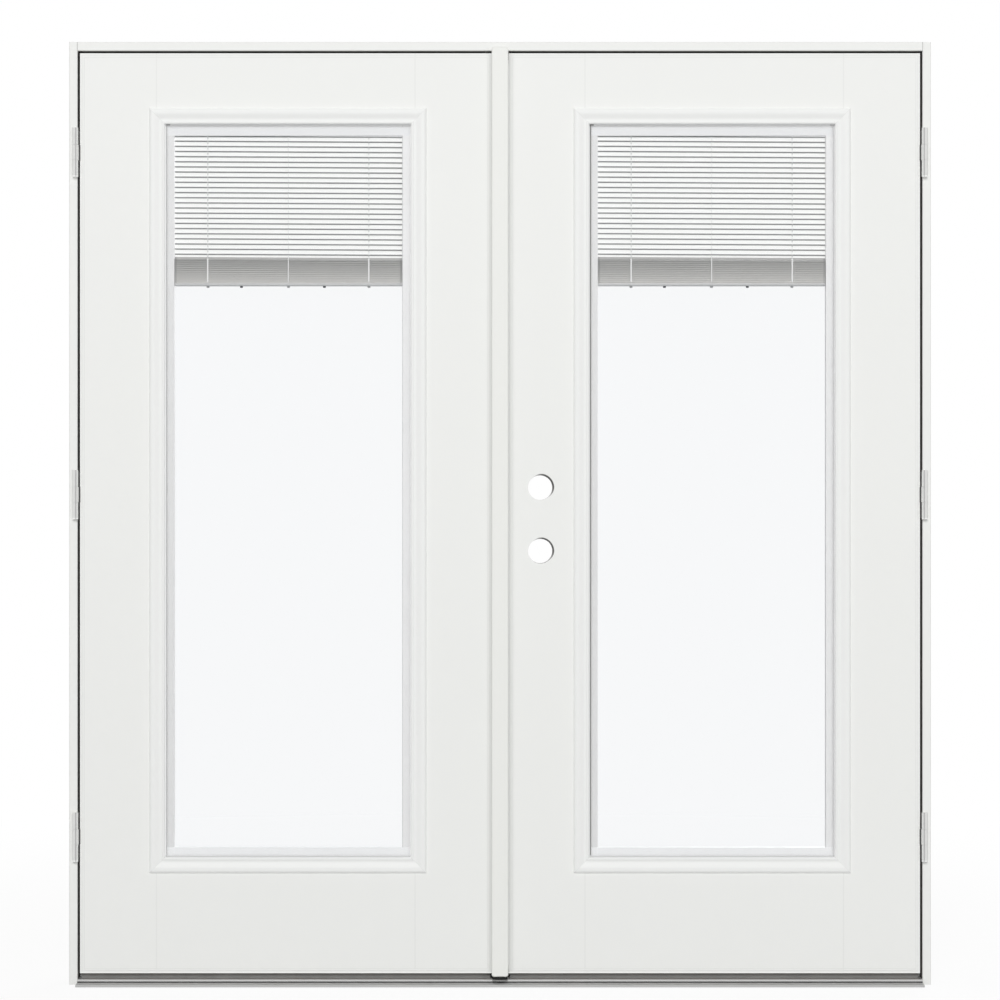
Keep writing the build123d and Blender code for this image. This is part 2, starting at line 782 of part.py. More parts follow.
def astragal_nose():
    """Flat cover of the meeting strip, standing proud of both leaves."""
    low, high = leaf_bottom - astragal_overhang, leaf_top + astragal_rise
    cover = block(-astragal_half, astragal_half, astragal_front, -running_gap, low, high)
    cover = fillet(cover.edges().filter_by(Axis.Y), astragal_corner_radius)
    cover = chamfer(cover.faces().sort_by(Axis.Y)[0].edges(), astragal_arris)
    foot = block(-astragal_half + astragal_foot, astragal_edge - astragal_foot, -running_gap, astragal_base,
                 leaf_bottom, leaf_top)
    return cover + foot


def astragal_seal():
    """Soft bulb on the strip's free side, just clear of the right leaf's edge."""
    tip = meeting_half - astragal_seal_gap
    y0 = astragal_base + running_gap
    y1 = y0 + astragal_seal_depth
    points = [(astragal_edge, y0), (tip - seal_rounding, y0), (tip, y0 + seal_rounding),
              (tip, y1 - seal_rounding), (tip - seal_rounding, y1), (astragal_edge, y1)]
    return plan_prism(points, leaf_bottom, leaf_top)


def astragal_boot():
    """Rubber boot between the foot of the meeting strip and the sill."""
    low = sill_platform + running_gap
    shelf = leaf_bottom - astragal_overhang
    shoulder = astragal_front + boot_shoulder
    front = astragal_front - boot_bulge
    bow = ThreePointArc((-boot_half_width, shoulder), (0, front), (boot_half_width, shoulder))
    sides = Polyline((boot_half_width, shoulder), (astragal_edge, leaf_back), (-boot_half_width, leaf_back),
                     (-boot_half_width, shoulder))
    boot = Pos(0, 0, low) * extrude(make_face(Curve() + [bow, sides]), leaf_bottom - low, dir=(0, 0, 1))
    boot = boot - block(-boot_half_width, boot_half_width, front, 0, shelf, leaf_bottom)
    lip = boot & block(-boot_half_width, boot_half_width, front, -sill_lip_reach - running_gap,
                       low, low + boot_lip_height)
    boot = boot + Pos(0, 0, -boot_lip_drop) * lip
    return boot - rod(bolt_centre, leaf_mid, sill_platform, leaf_bottom, bolt_radius + running_gap)


# Files
os.makedirs("parts", exist_ok=True)

for side, name in ((left, "left"), (right, "right")):
    save(f"{name}_jamb", jamb(side))
    save(f"{name}_weatherstrip", side_weatherstrip(side))
save("head_jamb", head_jamb())
save("head_weatherstrip", head_weatherstrip())
save("head_strike", strike_blank(bolt_pocket))
save("sill_base", sill_base())
save("sill_deck", sill_deck())
save("sill_riser", sill_riser())
save("sill_seal", sill_seal())
places = [(side, height) for side in (left, right) for height in hinge_heights]
save("jamb_hinge_leaves", *[jamb_hinge_leaf(*place) for place in places])

blank = moulded_ring()
for side, name in ((left, "left"), (right, "right")):
    save(f"{name}_door_hinge_leaves", *[door_hinge_leaf(side, height) for height in hinge_heights])
    save(f"{name}_hinge_stile", hinge_stile(side))
    save(f"{name}_lock_stile", lock_stile(side))
    save(f"{name}_top_rail", rail(side, leaf_top - top_rail_height, leaf_top))
    save(f"{name}_bottom_rail", rail(side, leaf_bottom, leaf_bottom + bottom_rail_height))
    save(f"{name}_core", core(side))
    save(f"{name}_outer_skin", skin(side, True))
    save(f"{name}_inner_skin", skin(side, False))
    save(f"{name}_bottom_sweep", bottom_sweep(side))
    save(f"{name}_outer_lite_frame", lite_frame(side, True, blank))
    save(f"{name}_inner_lite_frame", lite_frame(side, False, blank))
    save(f"{name}_outer_pane", pane(side, pane_front))
    save(f"{name}_inner_pane", pane(side, cavity_back))
    save(f"{name}_spacer", spacer(side))
    save(f"{name}_blind_headrail", headrail(side))
    heights = [first_slat - i * slat_pitch for i in range(hanging_slats)]
    save(f"{name}_blind_slats", *[slat(side, height) for height in heights], slat_stack(side))
    save(f"{name}_ladder_cords", *ladder_cords(side))
    save(f"{name}_blind_bottom_rail", bottom_rail(side))
    save(f"{name}_tilt_knob", operator_knob(side, -1, lite_bottom + lite_height - tilt_knob_drop))
    save(f"{name}_lift_knob", operator_knob(side, 1, lite_bottom + lift_knob_height))

save("lock_block", drill(right, lock_block_blank()))
low_bolt, high_bolt = bolt_ends()
save("astragal_body", astragal_body())
save("astragal_nose", astragal_nose())
save("astragal_seal", astragal_seal())
save("astragal_boot", astragal_boot())
save("top_flush_bolt", flush_bolt(*high_bolt, top_thumb()))
save("bottom_flush_bolt", flush_bolt(*low_bolt, bottom_thumb()))
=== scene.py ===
import bmesh
import bpy
import numpy as np
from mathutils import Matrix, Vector


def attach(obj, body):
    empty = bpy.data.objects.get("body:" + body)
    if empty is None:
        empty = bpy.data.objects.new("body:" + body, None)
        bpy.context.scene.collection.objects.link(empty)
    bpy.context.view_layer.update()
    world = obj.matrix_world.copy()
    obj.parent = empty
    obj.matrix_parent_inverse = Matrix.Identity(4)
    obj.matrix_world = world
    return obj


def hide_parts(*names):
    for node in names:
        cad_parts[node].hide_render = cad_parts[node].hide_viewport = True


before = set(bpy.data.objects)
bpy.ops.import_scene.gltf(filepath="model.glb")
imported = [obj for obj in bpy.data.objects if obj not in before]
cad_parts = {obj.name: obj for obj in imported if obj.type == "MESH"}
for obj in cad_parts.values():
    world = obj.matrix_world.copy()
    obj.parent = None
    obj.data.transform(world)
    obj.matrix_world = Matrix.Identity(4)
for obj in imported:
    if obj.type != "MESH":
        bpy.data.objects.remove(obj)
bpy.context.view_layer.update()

print("frame loaded")

# Everything is in metres. +X is right seen from outdoors, +Y goes indoors, +Z is up.


# Shader maths

def forward(operation):  # a Math node that takes the socket first, then the others
    return lambda self, *others: self.math(operation, *others)


def reflected(operation):  # the other number comes first, as in 1 - mask
    return lambda self, first: self.finish.node("Math", {"operation": operation}, {0: first, 1: self})


class Term:  # a socket that Python's operators work on; each operator adds one Math node
    def __init__(self, finish, socket):
        self.finish = finish
        self.socket = socket

    def math(self, operation, *others):
        return self.finish.node("Math", {"operation": operation}, dict(enumerate((self, *others))))

    __add__, __radd__ = forward("ADD"), reflected("ADD")
    __sub__, __rsub__ = forward("SUBTRACT"), reflected("SUBTRACT")
    __mul__, __rmul__ = forward("MULTIPLY"), reflected("MULTIPLY")
    __truediv__, __rtruediv__ = forward("DIVIDE"), reflected("DIVIDE")
    __pow__, __abs__ = forward("POWER"), forward("ABSOLUTE")
    least, most = forward("MINIMUM"), forward("MAXIMUM")

    def rise(self, low, high):  # 0 below low, 1 above high, smooth between
        return self.finish.node("MapRange", {"interpolation_type": "SMOOTHSTEP"},
                                {"Value": self, "From Min": low, "From Max": high})

    def fall(self, low, high):
        return 1.0 - self.rise(low, high)

    def near(self, place, half, soft):  # 1 within half of place, 0 from half + soft on
        return abs(self - place).fall(half, half + soft)

    def nearEither(self, places, half, soft):
        first, second = (self.near(place, half, soft) for place in places)
        return first.most(second)


class Finish:  # one material, with the object's own place split into x, y and z
    def __init__(self, name, tree=None):
        if tree is None:
            self.material = bpy.data.materials.new(name)
            self.material.use_nodes = True
            tree = self.material.node_tree
        self.tree = tree
        self.tree.nodes.clear()

    def node(self, kind, settings=None, inputs=None, out=0):
        made = self.tree.nodes.new("ShaderNode" + kind)
        for key, value in (settings or {}).items():
            setattr(made, key, value)
        for key, value in (inputs or {}).items():
            if isinstance(value, Term):
                self.tree.links.new(value.socket, made.inputs[key])
            elif hasattr(value, "__len__") and len(made.inputs[key].default_value) == 4:
                made.inputs[key].default_value = (*value, 1.0)
            else:
                made.inputs[key].default_value = value
        return Term(self, made.outputs[out]) if len(made.outputs) else None

    def place(self):
        return self.node("TexCoord", out="Object")

    def axes(self):
        return [self.node("SeparateXYZ", inputs={0: self.place()}, out=axis) for axis in "XYZ"]

    def noise(self, scale, detail, stretch=(1.0, 1.0, 1.0)):  # scale * stretch: bumps per metre each way
        spot = self.node("Mapping", {"vector_type": "POINT"}, {"Vector": self.place(), "Scale": stretch})
        return self.node("TexNoise", inputs={"Vector": spot, "Scale": scale, "Detail": detail}, out="Fac")

    def mix(self, share, low, high):
        return self.node("Mix", {"data_type": "RGBA"}, {0: share, 6: low, 7: high}, out=2)

    def bump(self, height, distance, strength):
        return self.node("Bump", inputs={"Height": height, "Distance": distance, "Strength": strength})

    def surface(self, **inputs):
        names = {"colour": "Base Color", "roughness": "Roughness", "metallic": "Metallic", "alpha": "Alpha",
                 "normal": "Normal", "specular": "Specular IOR Level", "glow": "Emission Color",
                 "glowPower": "Emission Strength"}
        shader = self.node("BsdfPrincipled", inputs={names[key]: value for key, value in inputs.items()})
        self.node("OutputMaterial", inputs={"Surface": shader})
        return self


black = (0.0, 0.0, 0.0)
white = (1.0, 1.0, 1.0)


def shaded(colour, factor):
    return tuple(channel * factor for channel in colour)


# Finishes. Sizes inside patterns are in metres, scales are per metre.

paints = {
    "jamb": (0.862, 0.868, 0.846), "leaf": (0.862, 0.868, 0.848), "moulding": (0.868, 0.875, 0.862),
    "strip": (0.850, 0.856, 0.826), "hinge": (0.830, 0.834, 0.815), "sheen": 0.30,
}

brushSizes = {
    "thin": 90.0, "long": 2.5, "cloud": 3.5, "valley": 0.985, "depth": 0.00025,
    "rabbetShade": (0.20, 0.195, 0.185), "rabbetShadeDepths": (0.005, 0.014), "stopFace": 0.05345,
    "jambEdge": 0.9278, "headUnder": 2.0508, "lineFrom": 0.0001, "lineTo": 0.0004,
    "seamHalf": 0.0004, "seamSoft": 0.0006, "seamBelow": 0.001, "seamTone": 0.45,
}


def brushedPaint(name, colour, along):
    # brush marks run along the given axis, as one noise stretched that way; the rabbet between the leaf and
    # its seal is darkened as painted shade, and a seam shows where the head meets the jambs
    finish = Finish(name)
    x, y, z = finish.axes()
    sizes = brushSizes
    thin, long = sizes["thin"], sizes["long"]
    streaks = finish.noise(1.0, 3.0, (long, thin, thin) if along == "x" else (thin, thin, long))
    cloud = finish.noise(sizes["cloud"], 2.0)
    paint = finish.mix(streaks * 0.5 + cloud * 0.5, shaded(colour, sizes["valley"]), colour)
    across, edge = (abs(x), sizes["jambEdge"]) if along == "z" else (z, sizes["headUnder"])
    start, end = sizes["lineFrom"], sizes["lineTo"]
    # painted shade: the rabbet's faces within the leaf's depth, up to the stop face, take a dark colour
    rabbetShade = y.rise(*sizes["rabbetShadeDepths"]) * across.fall(edge + start, edge + end)
    rabbetShade = rabbetShade * y.fall(sizes["stopFace"] + start, sizes["stopFace"] + end)
    paint = finish.mix(rabbetShade, paint, sizes["rabbetShade"])
    seam = abs(x).near(sizes["jambEdge"], sizes["seamHalf"], sizes["seamSoft"])
    seam = seam * z.rise(sizes["headUnder"] - sizes["seamBelow"], sizes["headUnder"])
    return finish.surface(
        colour=finish.mix(seam * 0.5, paint, shaded(colour, sizes["seamTone"])),
        roughness=0.52 + 0.08 * streaks,
        specular=paints["sheen"],
        normal=finish.bump(streaks - seam * 2.0, sizes["depth"], 0.35))


peelSizes = {"peel": 520.0, "swell": 45.0, "cloud": 2.2, "valley": 0.988, "depth": 0.00006}


def orangePeel(finish, colour):  # two noises, about 2 mm and 20 mm across, under a slow cloud of tone
    peel = finish.noise(peelSizes["peel"], 1.0)
    swell = finish.noise(peelSizes["swell"], 2.0)
    cloud = finish.noise(peelSizes["cloud"], 2.0)
    return finish.mix(cloud, shaded(colour, peelSizes["valley"]), colour), peel * 0.35 + swell, swell


def sprayedPaint(name, colour, roughness):
    finish = Finish(name)
    paint, height, swell = orangePeel(finish, colour)
    return finish.surface(
        colour=paint,
        roughness=roughness + 0.05 * swell,
        specular=paints["sheen"],
        normal=finish.bump(height, peelSizes["depth"], 0.5))


leafFace = {
    "outer": 0.9223, "meeting": 0.0186, "top": 2.0453, "bottom": 0.0253,
    "lines": (0.0048, 0.0093), "lineHalf": 0.0006, "lineSoft": 0.0008, "lineTone": 0.88,
    "joints": (0.7543, 0.1866), "jointHalf": 0.0009, "jointSoft": 0.0009, "jointTone": 0.945,
    "boreX": 0.08845, "boreHeights": (0.9519, 1.0916), "boreRadius": 0.02699,
    "rimWidth": 0.0040, "rimLeast": 0.0002, "rimShadeColour": (0.06, 0.059, 0.057),
    "dustAndShade": 0.81, "stripShadeReach": (0.011, 0.017), "footEdge": 0.0030, "footSoft": 0.0004, "footHighlightTone": 1.08,
}


def boreRimShade(x, z):  # painted shade: a ring round each bore, wide and dark towards its upper right, thin and faint opposite
    sizes = leafFace
    rims = []
    for height in sizes["boreHeights"]:
        aside, above = x - sizes["boreX"], z - height
        away = (aside * aside + above * above) ** 0.5
        upperRight = ((aside + above * 0.75) / away).rise(-0.2, 1.1)
        width = sizes["rimWidth"] * upperRight + sizes["rimLeast"]
        ring = ((away - sizes["boreRadius"]) / width).fall(0.7, 1.0)
        rims.append(ring * (0.10 + 0.88 * upperRight))
    return rims[0].most(rims[1])


def mouldedSkin(name, colour, roughness):
    # sprayed skin with pressed lines along its border, bumped in and darkened as painted shade, and stile
    # joints;
    # a crescent of painted shade round each bore, painted shade beside the meeting strip, and a painted
    # highlight along the foot
    finish = Finish(name)
    x, y, z = finish.axes()
    sizes = leafFace
    inward = (sizes["outer"] - abs(x)).least(abs(x) - sizes["meeting"]).least(
        sizes["top"] - z).least(z - sizes["bottom"])
    lines = inward.nearEither(sizes["lines"], sizes["lineHalf"], sizes["lineSoft"])
    joints = abs(x).nearEither(sizes["joints"], sizes["jointHalf"], sizes["jointSoft"])
    # painted shade round each bore
    rimShade = boreRimShade(x, z)
    # painted shade beside the proud meeting strip, reaching further on the right leaf
    near, far = sizes["stripShadeReach"]
    dustAndShade = ((abs(x) - sizes["meeting"]) / (near + (far - near) * rightLeaf(x))).fall(0.0, 1.0)
    # painted highlight along the leaf's bottom edge
    foot = (z - sizes["bottom"]).fall(sizes["footEdge"] - sizes["footSoft"], sizes["footEdge"])
    paint, height, swell = orangePeel(finish, colour)
    # the pressed lines are darkened as painted shade
    paint = finish.mix(lines * 0.5, paint, shaded(colour, sizes["lineTone"]))
    paint = finish.mix(joints, paint, shaded(colour, sizes["jointTone"]))
    paint = finish.mix(dustAndShade, paint, shaded(colour, sizes["dustAndShade"]))
    paint = finish.mix(foot, paint, shaded(colour, sizes["footHighlightTone"]))
    return finish.surface(
        colour=finish.mix(rimShade, paint, sizes["rimShadeColour"]),
        roughness=roughness + 0.05 * swell,
        specular=paints["sheen"],
        normal=finish.bump(height - lines * 4.0 - rimShade * 2.0, peelSizes["depth"], 0.5))


panelSizes = {
    "centre": 0.46575, "middle": 1.0847, "halfWidth": 0.30435, "halfHeight": 0.8394,
    "mitreHalf": 0.00025, "mitreSoft": 0.0005, "mitreShare": 0.22, "mitreTone": 0.6,
    "face": 0.034, "edgeWidths": (0.0008, 0.0022), "edgeHighlightTone": (0.96, 0.965, 0.955),
    "footBelow": (1.0, 1.1), "lipGlow": 0.11, "swell": 60.0, "peel": 700.0,
}


def mouldedFrame(name, colour):
    # mitre lines where the distances in from the outer side and the outer end are equal; a painted highlight
    # along both edges, with a faint painted light on the upright lips and the shaded foot
    finish = Finish(name)
    x, y, z = finish.axes()
    sizes = panelSizes
    face = sizes["face"]
    fromSide = sizes["halfWidth"] - abs(abs(x) - sizes["centre"])
    fromEnd = sizes["halfHeight"] - abs(z - sizes["middle"])
    inward = fromSide.least(fromEnd)
    mitre = (fromSide - fromEnd).near(0.0, sizes["mitreHalf"], sizes["mitreSoft"])
    # painted highlight: paler along the outer edge and the inner lip
    bright = inward.fall(*sizes["edgeWidths"])
    bright = bright.most(inward.rise(face - 0.0003, face - 0.0001))
    upright = fromSide.near(face, 0.0001, 0.0002) * fromEnd.rise(face, face + 0.004)
    foot = fromEnd.fall(*sizes["edgeWidths"]) * z.fall(*sizes["footBelow"])
    swell = finish.noise(sizes["swell"], 2.0)
    peel = finish.noise(sizes["peel"], 1.0)
    paint = finish.mix(swell, shaded(colour, 0.99), colour)
    paint = finish.mix(bright, paint, sizes["edgeHighlightTone"])
    return finish.surface(
        colour=finish.mix(mitre * sizes["mitreShare"], paint, shaded(colour, sizes["mitreTone"])),
        roughness=0.46 + 0.06 * swell,
        specular=paints["sheen"],
        glow=finish.mix(upright.most(foot), black, white),
        glowPower=sizes["lipGlow"],
        normal=finish.bump(peel * 0.2 + swell - mitre * 3.0, 0.00008, 0.5))


hingeSizes = {
    "pin": 0.9301, "lineHalf": 0.0013, "lineSoft": 0.0012, "lineDepths": (-0.0116, -0.0105),
    "lineTone": (0.36, 0.36, 0.36), "gap": 0.9230, "gapHalf": 0.0015, "gapSoft": 0.0004,
    "gapDepths": (0.0002, 0.0008), "first": 0.325, "apart": 0.751, "plateHalf": 0.0508, "headSoft": 0.0003,
    "headGlow": 0.16, "swell": 160.0, "peel": 900.0,
}


def hingeEnamel(name, colour, gapShade):
    # painted, with a painted dark reflection as a line down the front, the gap beside the knuckles in the gap
    # colour, which is painted shade where it is dark, and a faint painted light under each pin head, where
    # the height from the nearest hinge's middle is just past half a plate
    finish = Finish(name)
    x, y, z = finish.axes()
    sizes = hingeSizes
    # painted reflection: a dark line down the barrel's front
    reflectionLine = abs(x).near(sizes["pin"], sizes["lineHalf"], sizes["lineSoft"])
    reflectionLine = reflectionLine * y.fall(*sizes["lineDepths"])
    # painted shade: the gap colour on the arms beside the knuckles
    gap = abs(x).near(sizes["gap"], sizes["gapHalf"], sizes["gapSoft"]) * y.fall(*sizes["gapDepths"])
    above = (((z - sizes["first"]) / sizes["apart"] + 0.5).math("FRACT") - 0.5) * sizes["apart"]
    headFoot = (0.0 - above).rise(sizes["plateHalf"], sizes["plateHalf"] + sizes["headSoft"])
    swell = finish.noise(sizes["swell"], 2.0)
    peel = finish.noise(sizes["peel"], 1.0)
    paint = finish.mix(reflectionLine * 0.7, finish.mix(swell, shaded(colour, 0.98), colour), sizes["lineTone"])
    return finish.surface(
        colour=finish.mix(gap, paint, gapShade),
        roughness=0.46 + 0.10 * swell,
        specular=paints["sheen"],
        glow=finish.mix(headFoot, black, white),
        glowPower=sizes["headGlow"],
        normal=finish.bump(peel * 0.3 + swell, 0.00006, 0.5))


metalSizes = {
    "thin": 1400.0, "long": 6.0, "cloud": 9.0, "depth": 0.00005,
    "groove": (-0.0025, 0.0020), "grooveHeight": (0.0065, 0.0012), "grooveSoft": 0.0002,
    "noseDepths": (-0.030, -0.020), "underHeights": (0.0008, 0.0036), "underShadeTone": 0.45,
}


def millMetal(name, colour):  # lines drawn along x over a fine speckle, with painted shade in the groove and under the nose
    finish = Finish(name)
    x, y, z = finish.axes()
    sizes = metalSizes
    lines = finish.noise(1.0, 3.0, (sizes["long"], sizes["thin"], sizes["thin"]))
    cloud = finish.noise(sizes["cloud"], 3.0)
    soft = sizes["grooveSoft"]
    # painted shade: near black in the groove and darker under the nose
    groove = y.near(*sizes["groove"], soft) * z.near(*sizes["grooveHeight"], soft)
    under = z.fall(*sizes["underHeights"]) * y.fall(*sizes["noseDepths"])
    metal = finish.mix(lines * 0.7 + cloud * 0.3, shaded(colour, 0.86), colour)
    metal = finish.mix(under * 0.5, metal, shaded(colour, sizes["underShadeTone"]))
    return finish.surface(
        colour=finish.mix(groove * 0.97, metal, (0.012, 0.012, 0.012)),
        roughness=0.40 + 0.16 * lines,
        metallic=0.45,
        normal=finish.bump(lines, sizes["depth"], 0.5))


rubberSizes = {"pores": 1500.0, "cloud": 30.0, "depth": 0.00008}


def pored(finish, colour, **more):  # a matt skin with fine pores
    pores = finish.noise(rubberSizes["pores"], 2.0)
    return finish.surface(
        colour=colour,
        roughness=0.55 + 0.15 * pores,
        normal=finish.bump(pores, rubberSizes["depth"], 0.5),
        **more)


def clouded(finish, colour):
    return finish.mix(finish.noise(rubberSizes["cloud"], 2.0), shaded(colour, 0.8), shaded(colour, 1.2))


def rubber(name, colour):
    finish = Finish(name)
    return pored(finish, clouded(finish, colour))


def sweepRubber(name, colour, paintFrom):  # vinyl with the leaf's paint carried over its top edge
    finish = Finish(name)
    painted = finish.axes()[2].rise(paintFrom - 0.0002, paintFrom)
    return pored(finish, finish.mix(painted, clouded(finish, colour), paints["leaf"]))


bootSizes = {"lipTop": 0.0125, "lipMiddle": 0.0082, "soft": 0.0004, "backDepths": (-0.0008, 0.0004),
             "black": (0.010, 0.010, 0.010), "pale": (0.26, 0.26, 0.255), "rear": (0.13, 0.13, 0.13)}


def bootRubber(name):  # black block with a pale wiping lip in front, and a lighter grey at the back as painted light where it sits in the gap's shade
    finish = Finish(name)
    x, y, z = finish.axes()
    sizes = bootSizes
    lip = z.rise(sizes["lipMiddle"] - sizes["soft"], sizes["lipMiddle"])
    lip = lip * z.fall(sizes["lipTop"], sizes["lipTop"] + sizes["soft"])
    front = finish.mix(lip, sizes["black"], sizes["pale"])
    # painted light: the back takes a lighter grey than the black front
    return pored(finish, finish.mix(y.rise(*sizes["backDepths"]), front, sizes["rear"]), specular=0.2)


def compositeBoard(name, light, dark):  # flakes of two tones pressed together
    finish = Finish(name)
    flakes = finish.node("TexVoronoi", inputs={"Vector": finish.place(), "Scale": 420.0}, out="Color")
    shade = finish.node("SeparateColor", inputs={0: flakes}, out="Red")
    dustAndShade = finish.noise(800.0, 2.0)
    return finish.surface(
        colour=finish.mix(shade * 0.8 + dustAndShade * 0.2, dark, light),
        roughness=0.75,
        normal=finish.bump(shade + dustAndShade, 0.0002, 0.5))


timberSizes = {
    "outer": 0.9223, "meeting": 0.0211, "top": 2.0453, "wood": (0.52, 0.36, 0.21),
    "darkWood": (0.36, 0.22, 0.11), "pliesPerMetre": 260.0, "grain": (240.0, 240.0, 9.0),
}


def leafTimber(name):  # painted at the two long edges and the top, bare laminated timber elsewhere
    finish = Finish(name)
    x, y, z = finish.axes()
    sizes = timberSizes
    plies = (y * sizes["pliesPerMetre"]).math("FRACT").near(0.0, 0.06, 0.03)
    grain = finish.noise(1.0, 4.0, sizes["grain"])
    fine = finish.noise(500.0, 1.0)
    wood = finish.mix(grain, sizes["darkWood"], sizes["wood"])
    wood = finish.mix(plies * 0.5, wood, sizes["darkWood"])
    painted = abs(x).rise(sizes["outer"] - 0.0012, sizes["outer"] - 0.0008)
    painted = painted.most(abs(x).fall(sizes["meeting"] + 0.0004, sizes["meeting"] + 0.0009))
    painted = painted.most(z.rise(sizes["top"] - 0.0008, sizes["top"] - 0.0004))
    return finish.surface(
        colour=finish.mix(painted, wood, paints["leaf"]),
        roughness=0.62 - 0.2 * painted + 0.05 * fine,
        normal=finish.bump(grain * (1.0 - painted) + fine * 0.15, 0.0003, 0.5))


def foamBoard(name, colour, scale):  # closed cells
    finish = Finish(name)
    cells = finish.node("TexVoronoi", inputs={"Vector": finish.place(), "Scale": scale}, out="Distance")
    return finish.surface(
        colour=finish.mix(cells, colour, shaded(colour, 0.7)),
        roughness=0.8,
        normal=finish.bump(cells, 0.0003, 0.6))


glassLook = {"colour": (0.30, 0.40, 0.50), "seenThrough": 0.026, "edgeOn": 0.32, "ripple": 7.0,
             "depth": 0.00003}


def clearGlass(name):  # nearly see-through face on, more of a mirror at a grazing angle
    finish = Finish(name)
    weight = finish.node("LayerWeight", inputs={"Blend": 0.5}, out="Facing")
    ripple = finish.noise(glassLook["ripple"], 1.0)
    return finish.surface(
        colour=glassLook["colour"],
        roughness=0.06,
        alpha=glassLook["seenThrough"] + (weight ** 4.0) * glassLook["edgeOn"],
        normal=finish.bump(ripple, glassLook["depth"], 0.1))


def satinPlastic(name, colour, roughness):  # moulded plastic with a faint spark-eroded grain
    finish = Finish(name)
    grain = finish.noise(1300.0, 1.0)
    cloud = finish.noise(12.0, 2.0)
    return finish.surface(
        colour=finish.mix(cloud, shaded(colour, 0.975), colour),
        roughness=roughness + 0.08 * grain,
        normal=finish.bump(grain, 0.00005, 0.4))


headrailLook = {"top": 1.8856, "fade": 0.0060, "glow": 0.14, "drawn": (4.0, 600.0, 600.0)}


def headrailEnamel(name, colour):  # rolled steel rail, with a faint painted glow of light towards its top, under the lip's shade
    finish = Finish(name)
    look = headrailLook
    drawn = finish.noise(1.0, 2.0, look["drawn"])
    high = finish.axes()[2].rise(look["top"] - look["fade"], look["top"])
    return finish.surface(
        colour=finish.mix(drawn * 0.3, colour, shaded(colour, 0.95)),
        roughness=0.45 + 0.06 * drawn,
        specular=0.3,
        glow=finish.mix(high, black, white),
        glowPower=look["glow"],
        normal=finish.bump(drawn, 0.00004, 0.4))


bandSizes = {
    "centre": 0.46575, "inner": 0.25085, "foot": 0.2998, "head": 1.8856, "faceHalf": 0.0001,
    "cornerIn": 0.0007, "cornerHalf": 0.0004, "cornerSoft": 0.0005, "cornerShadeTone": 0.65,
    "blend": (-0.26, 0.10), "innerGlow": 0.18, "footLightColour": (0.90, 0.90, 0.90), "drawn": (700.0, 700.0, 4.0),
}


def leafAcross(finish):  # distance to the right of the leaf's own glass centre
    x = finish.axes()[0]
    return x - x.math("SIGN") * bandSizes["centre"]


def rightLeaf(x):  # 0 on the left leaf, 1 on the right one
    return x.rise(-0.01, 0.01)


def channelPlastic(name, leftShadedColour, rightColour):  # extruded plastic; painted light on the faces inside the glass and a paler bottom band, painted shade on the left bands and along the right bands' inner corner
    finish = Finish(name)
    x, y, z = finish.axes()
    sizes = bandSizes
    foot, head, half = sizes["foot"], sizes["head"], sizes["faceHalf"]
    across = leafAcross(finish)
    inner = abs(across).near(sizes["inner"], half, half) * across.fall(-0.01, 0.01)
    inner = inner.most(z.near(foot, half, half))
    inner = inner.most(z.rise(head, head + 0.001))
    # painted shade: a dark line along the right bands' inner corner
    corner = across.near(sizes["inner"] + sizes["cornerIn"], sizes["cornerHalf"], sizes["cornerSoft"])
    corner = corner * z.rise(foot, foot + 0.001) * (1.0 - 0.8 * rightLeaf(x))
    grain = finish.noise(1300.0, 1.0)
    drawn = finish.noise(1.0, 2.0, sizes["drawn"])
    # painted shade: the left bands take the darker colour, blending across to the right
    colour = finish.mix(across.rise(*sizes["blend"]), leftShadedColour, rightColour)
    colour = finish.mix(corner, colour, shaded(rightColour, sizes["cornerShadeTone"]))
    # painted light: the bottom band is paler
    colour = finish.mix(z.rise(foot, foot + 0.0005), sizes["footLightColour"], colour)
    return finish.surface(
        colour=finish.mix(drawn * 0.03, colour, (0.5, 0.5, 0.5)),
        roughness=0.42 + 0.08 * grain,
        glow=finish.mix(inner, black, white),
        glowPower=sizes["innerGlow"],
        normal=finish.bump(grain, 0.00005, 0.4))


gasketLook = {
    "lip": 0.27035, "pale": (0.92, 0.92, 0.92), "soft": 0.0004, "legFrom": (0.2590, 0.2600),
    "leftFrom": (0.0024, 0.0018), "leftGrey": ((0.38, 0.38, 0.38), (0.25, 0.25, 0.245)),
    "rightFrom": (0.0, 0.0), "rightGrey": ((0.95, 0.95, 0.95), (0.66, 0.66, 0.66)),
    "foot": 0.2793, "footEnd": (0.004, 0.005), "footIn": (0.0008, 0.0016), "footGrey": (0.60, 0.60, 0.60),
}


def gasketVinyl(name):
    # pale where it leaves the lip and grey at its tip, the grey being painted shade from the lip; the two
    # legs and the foot differ, and so do the leaves, as the shade falls
    finish = Finish(name)
    x, y, z = finish.axes()
    look = gasketLook
    start, end = look["legFrom"]
    across = leafAcross(finish)
    inward = look["lip"] - abs(across)
    tips = []
    for side in ("left", "right"):
        near, far = look[side + "From"]
        tip = (inward - near - (far - near) * rightLeaf(x)).rise(0.0, look["soft"])
        tips.append(finish.mix(tip, look["pale"], finish.mix(rightLeaf(x), *look[side + "Grey"])))
    vinyl = finish.mix(across.rise(start, end), look["pale"], tips[1])
    vinyl = finish.mix(across.rise(-end, -start), tips[0], vinyl)
    high = z - look["foot"]
    foot = high.rise(0.0, look["soft"]) * high.fall(*look["footEnd"]) * inward.rise(*look["footIn"])
    vinyl = finish.mix(foot, vinyl, look["footGrey"])
    pores = finish.noise(1500.0, 2.0)
    return finish.surface(
        colour=finish.mix(pores * 0.08, vinyl, (0.1, 0.1, 0.1)),
        roughness=0.5 + 0.15 * pores,
        normal=finish.bump(pores, 0.00006, 0.5))


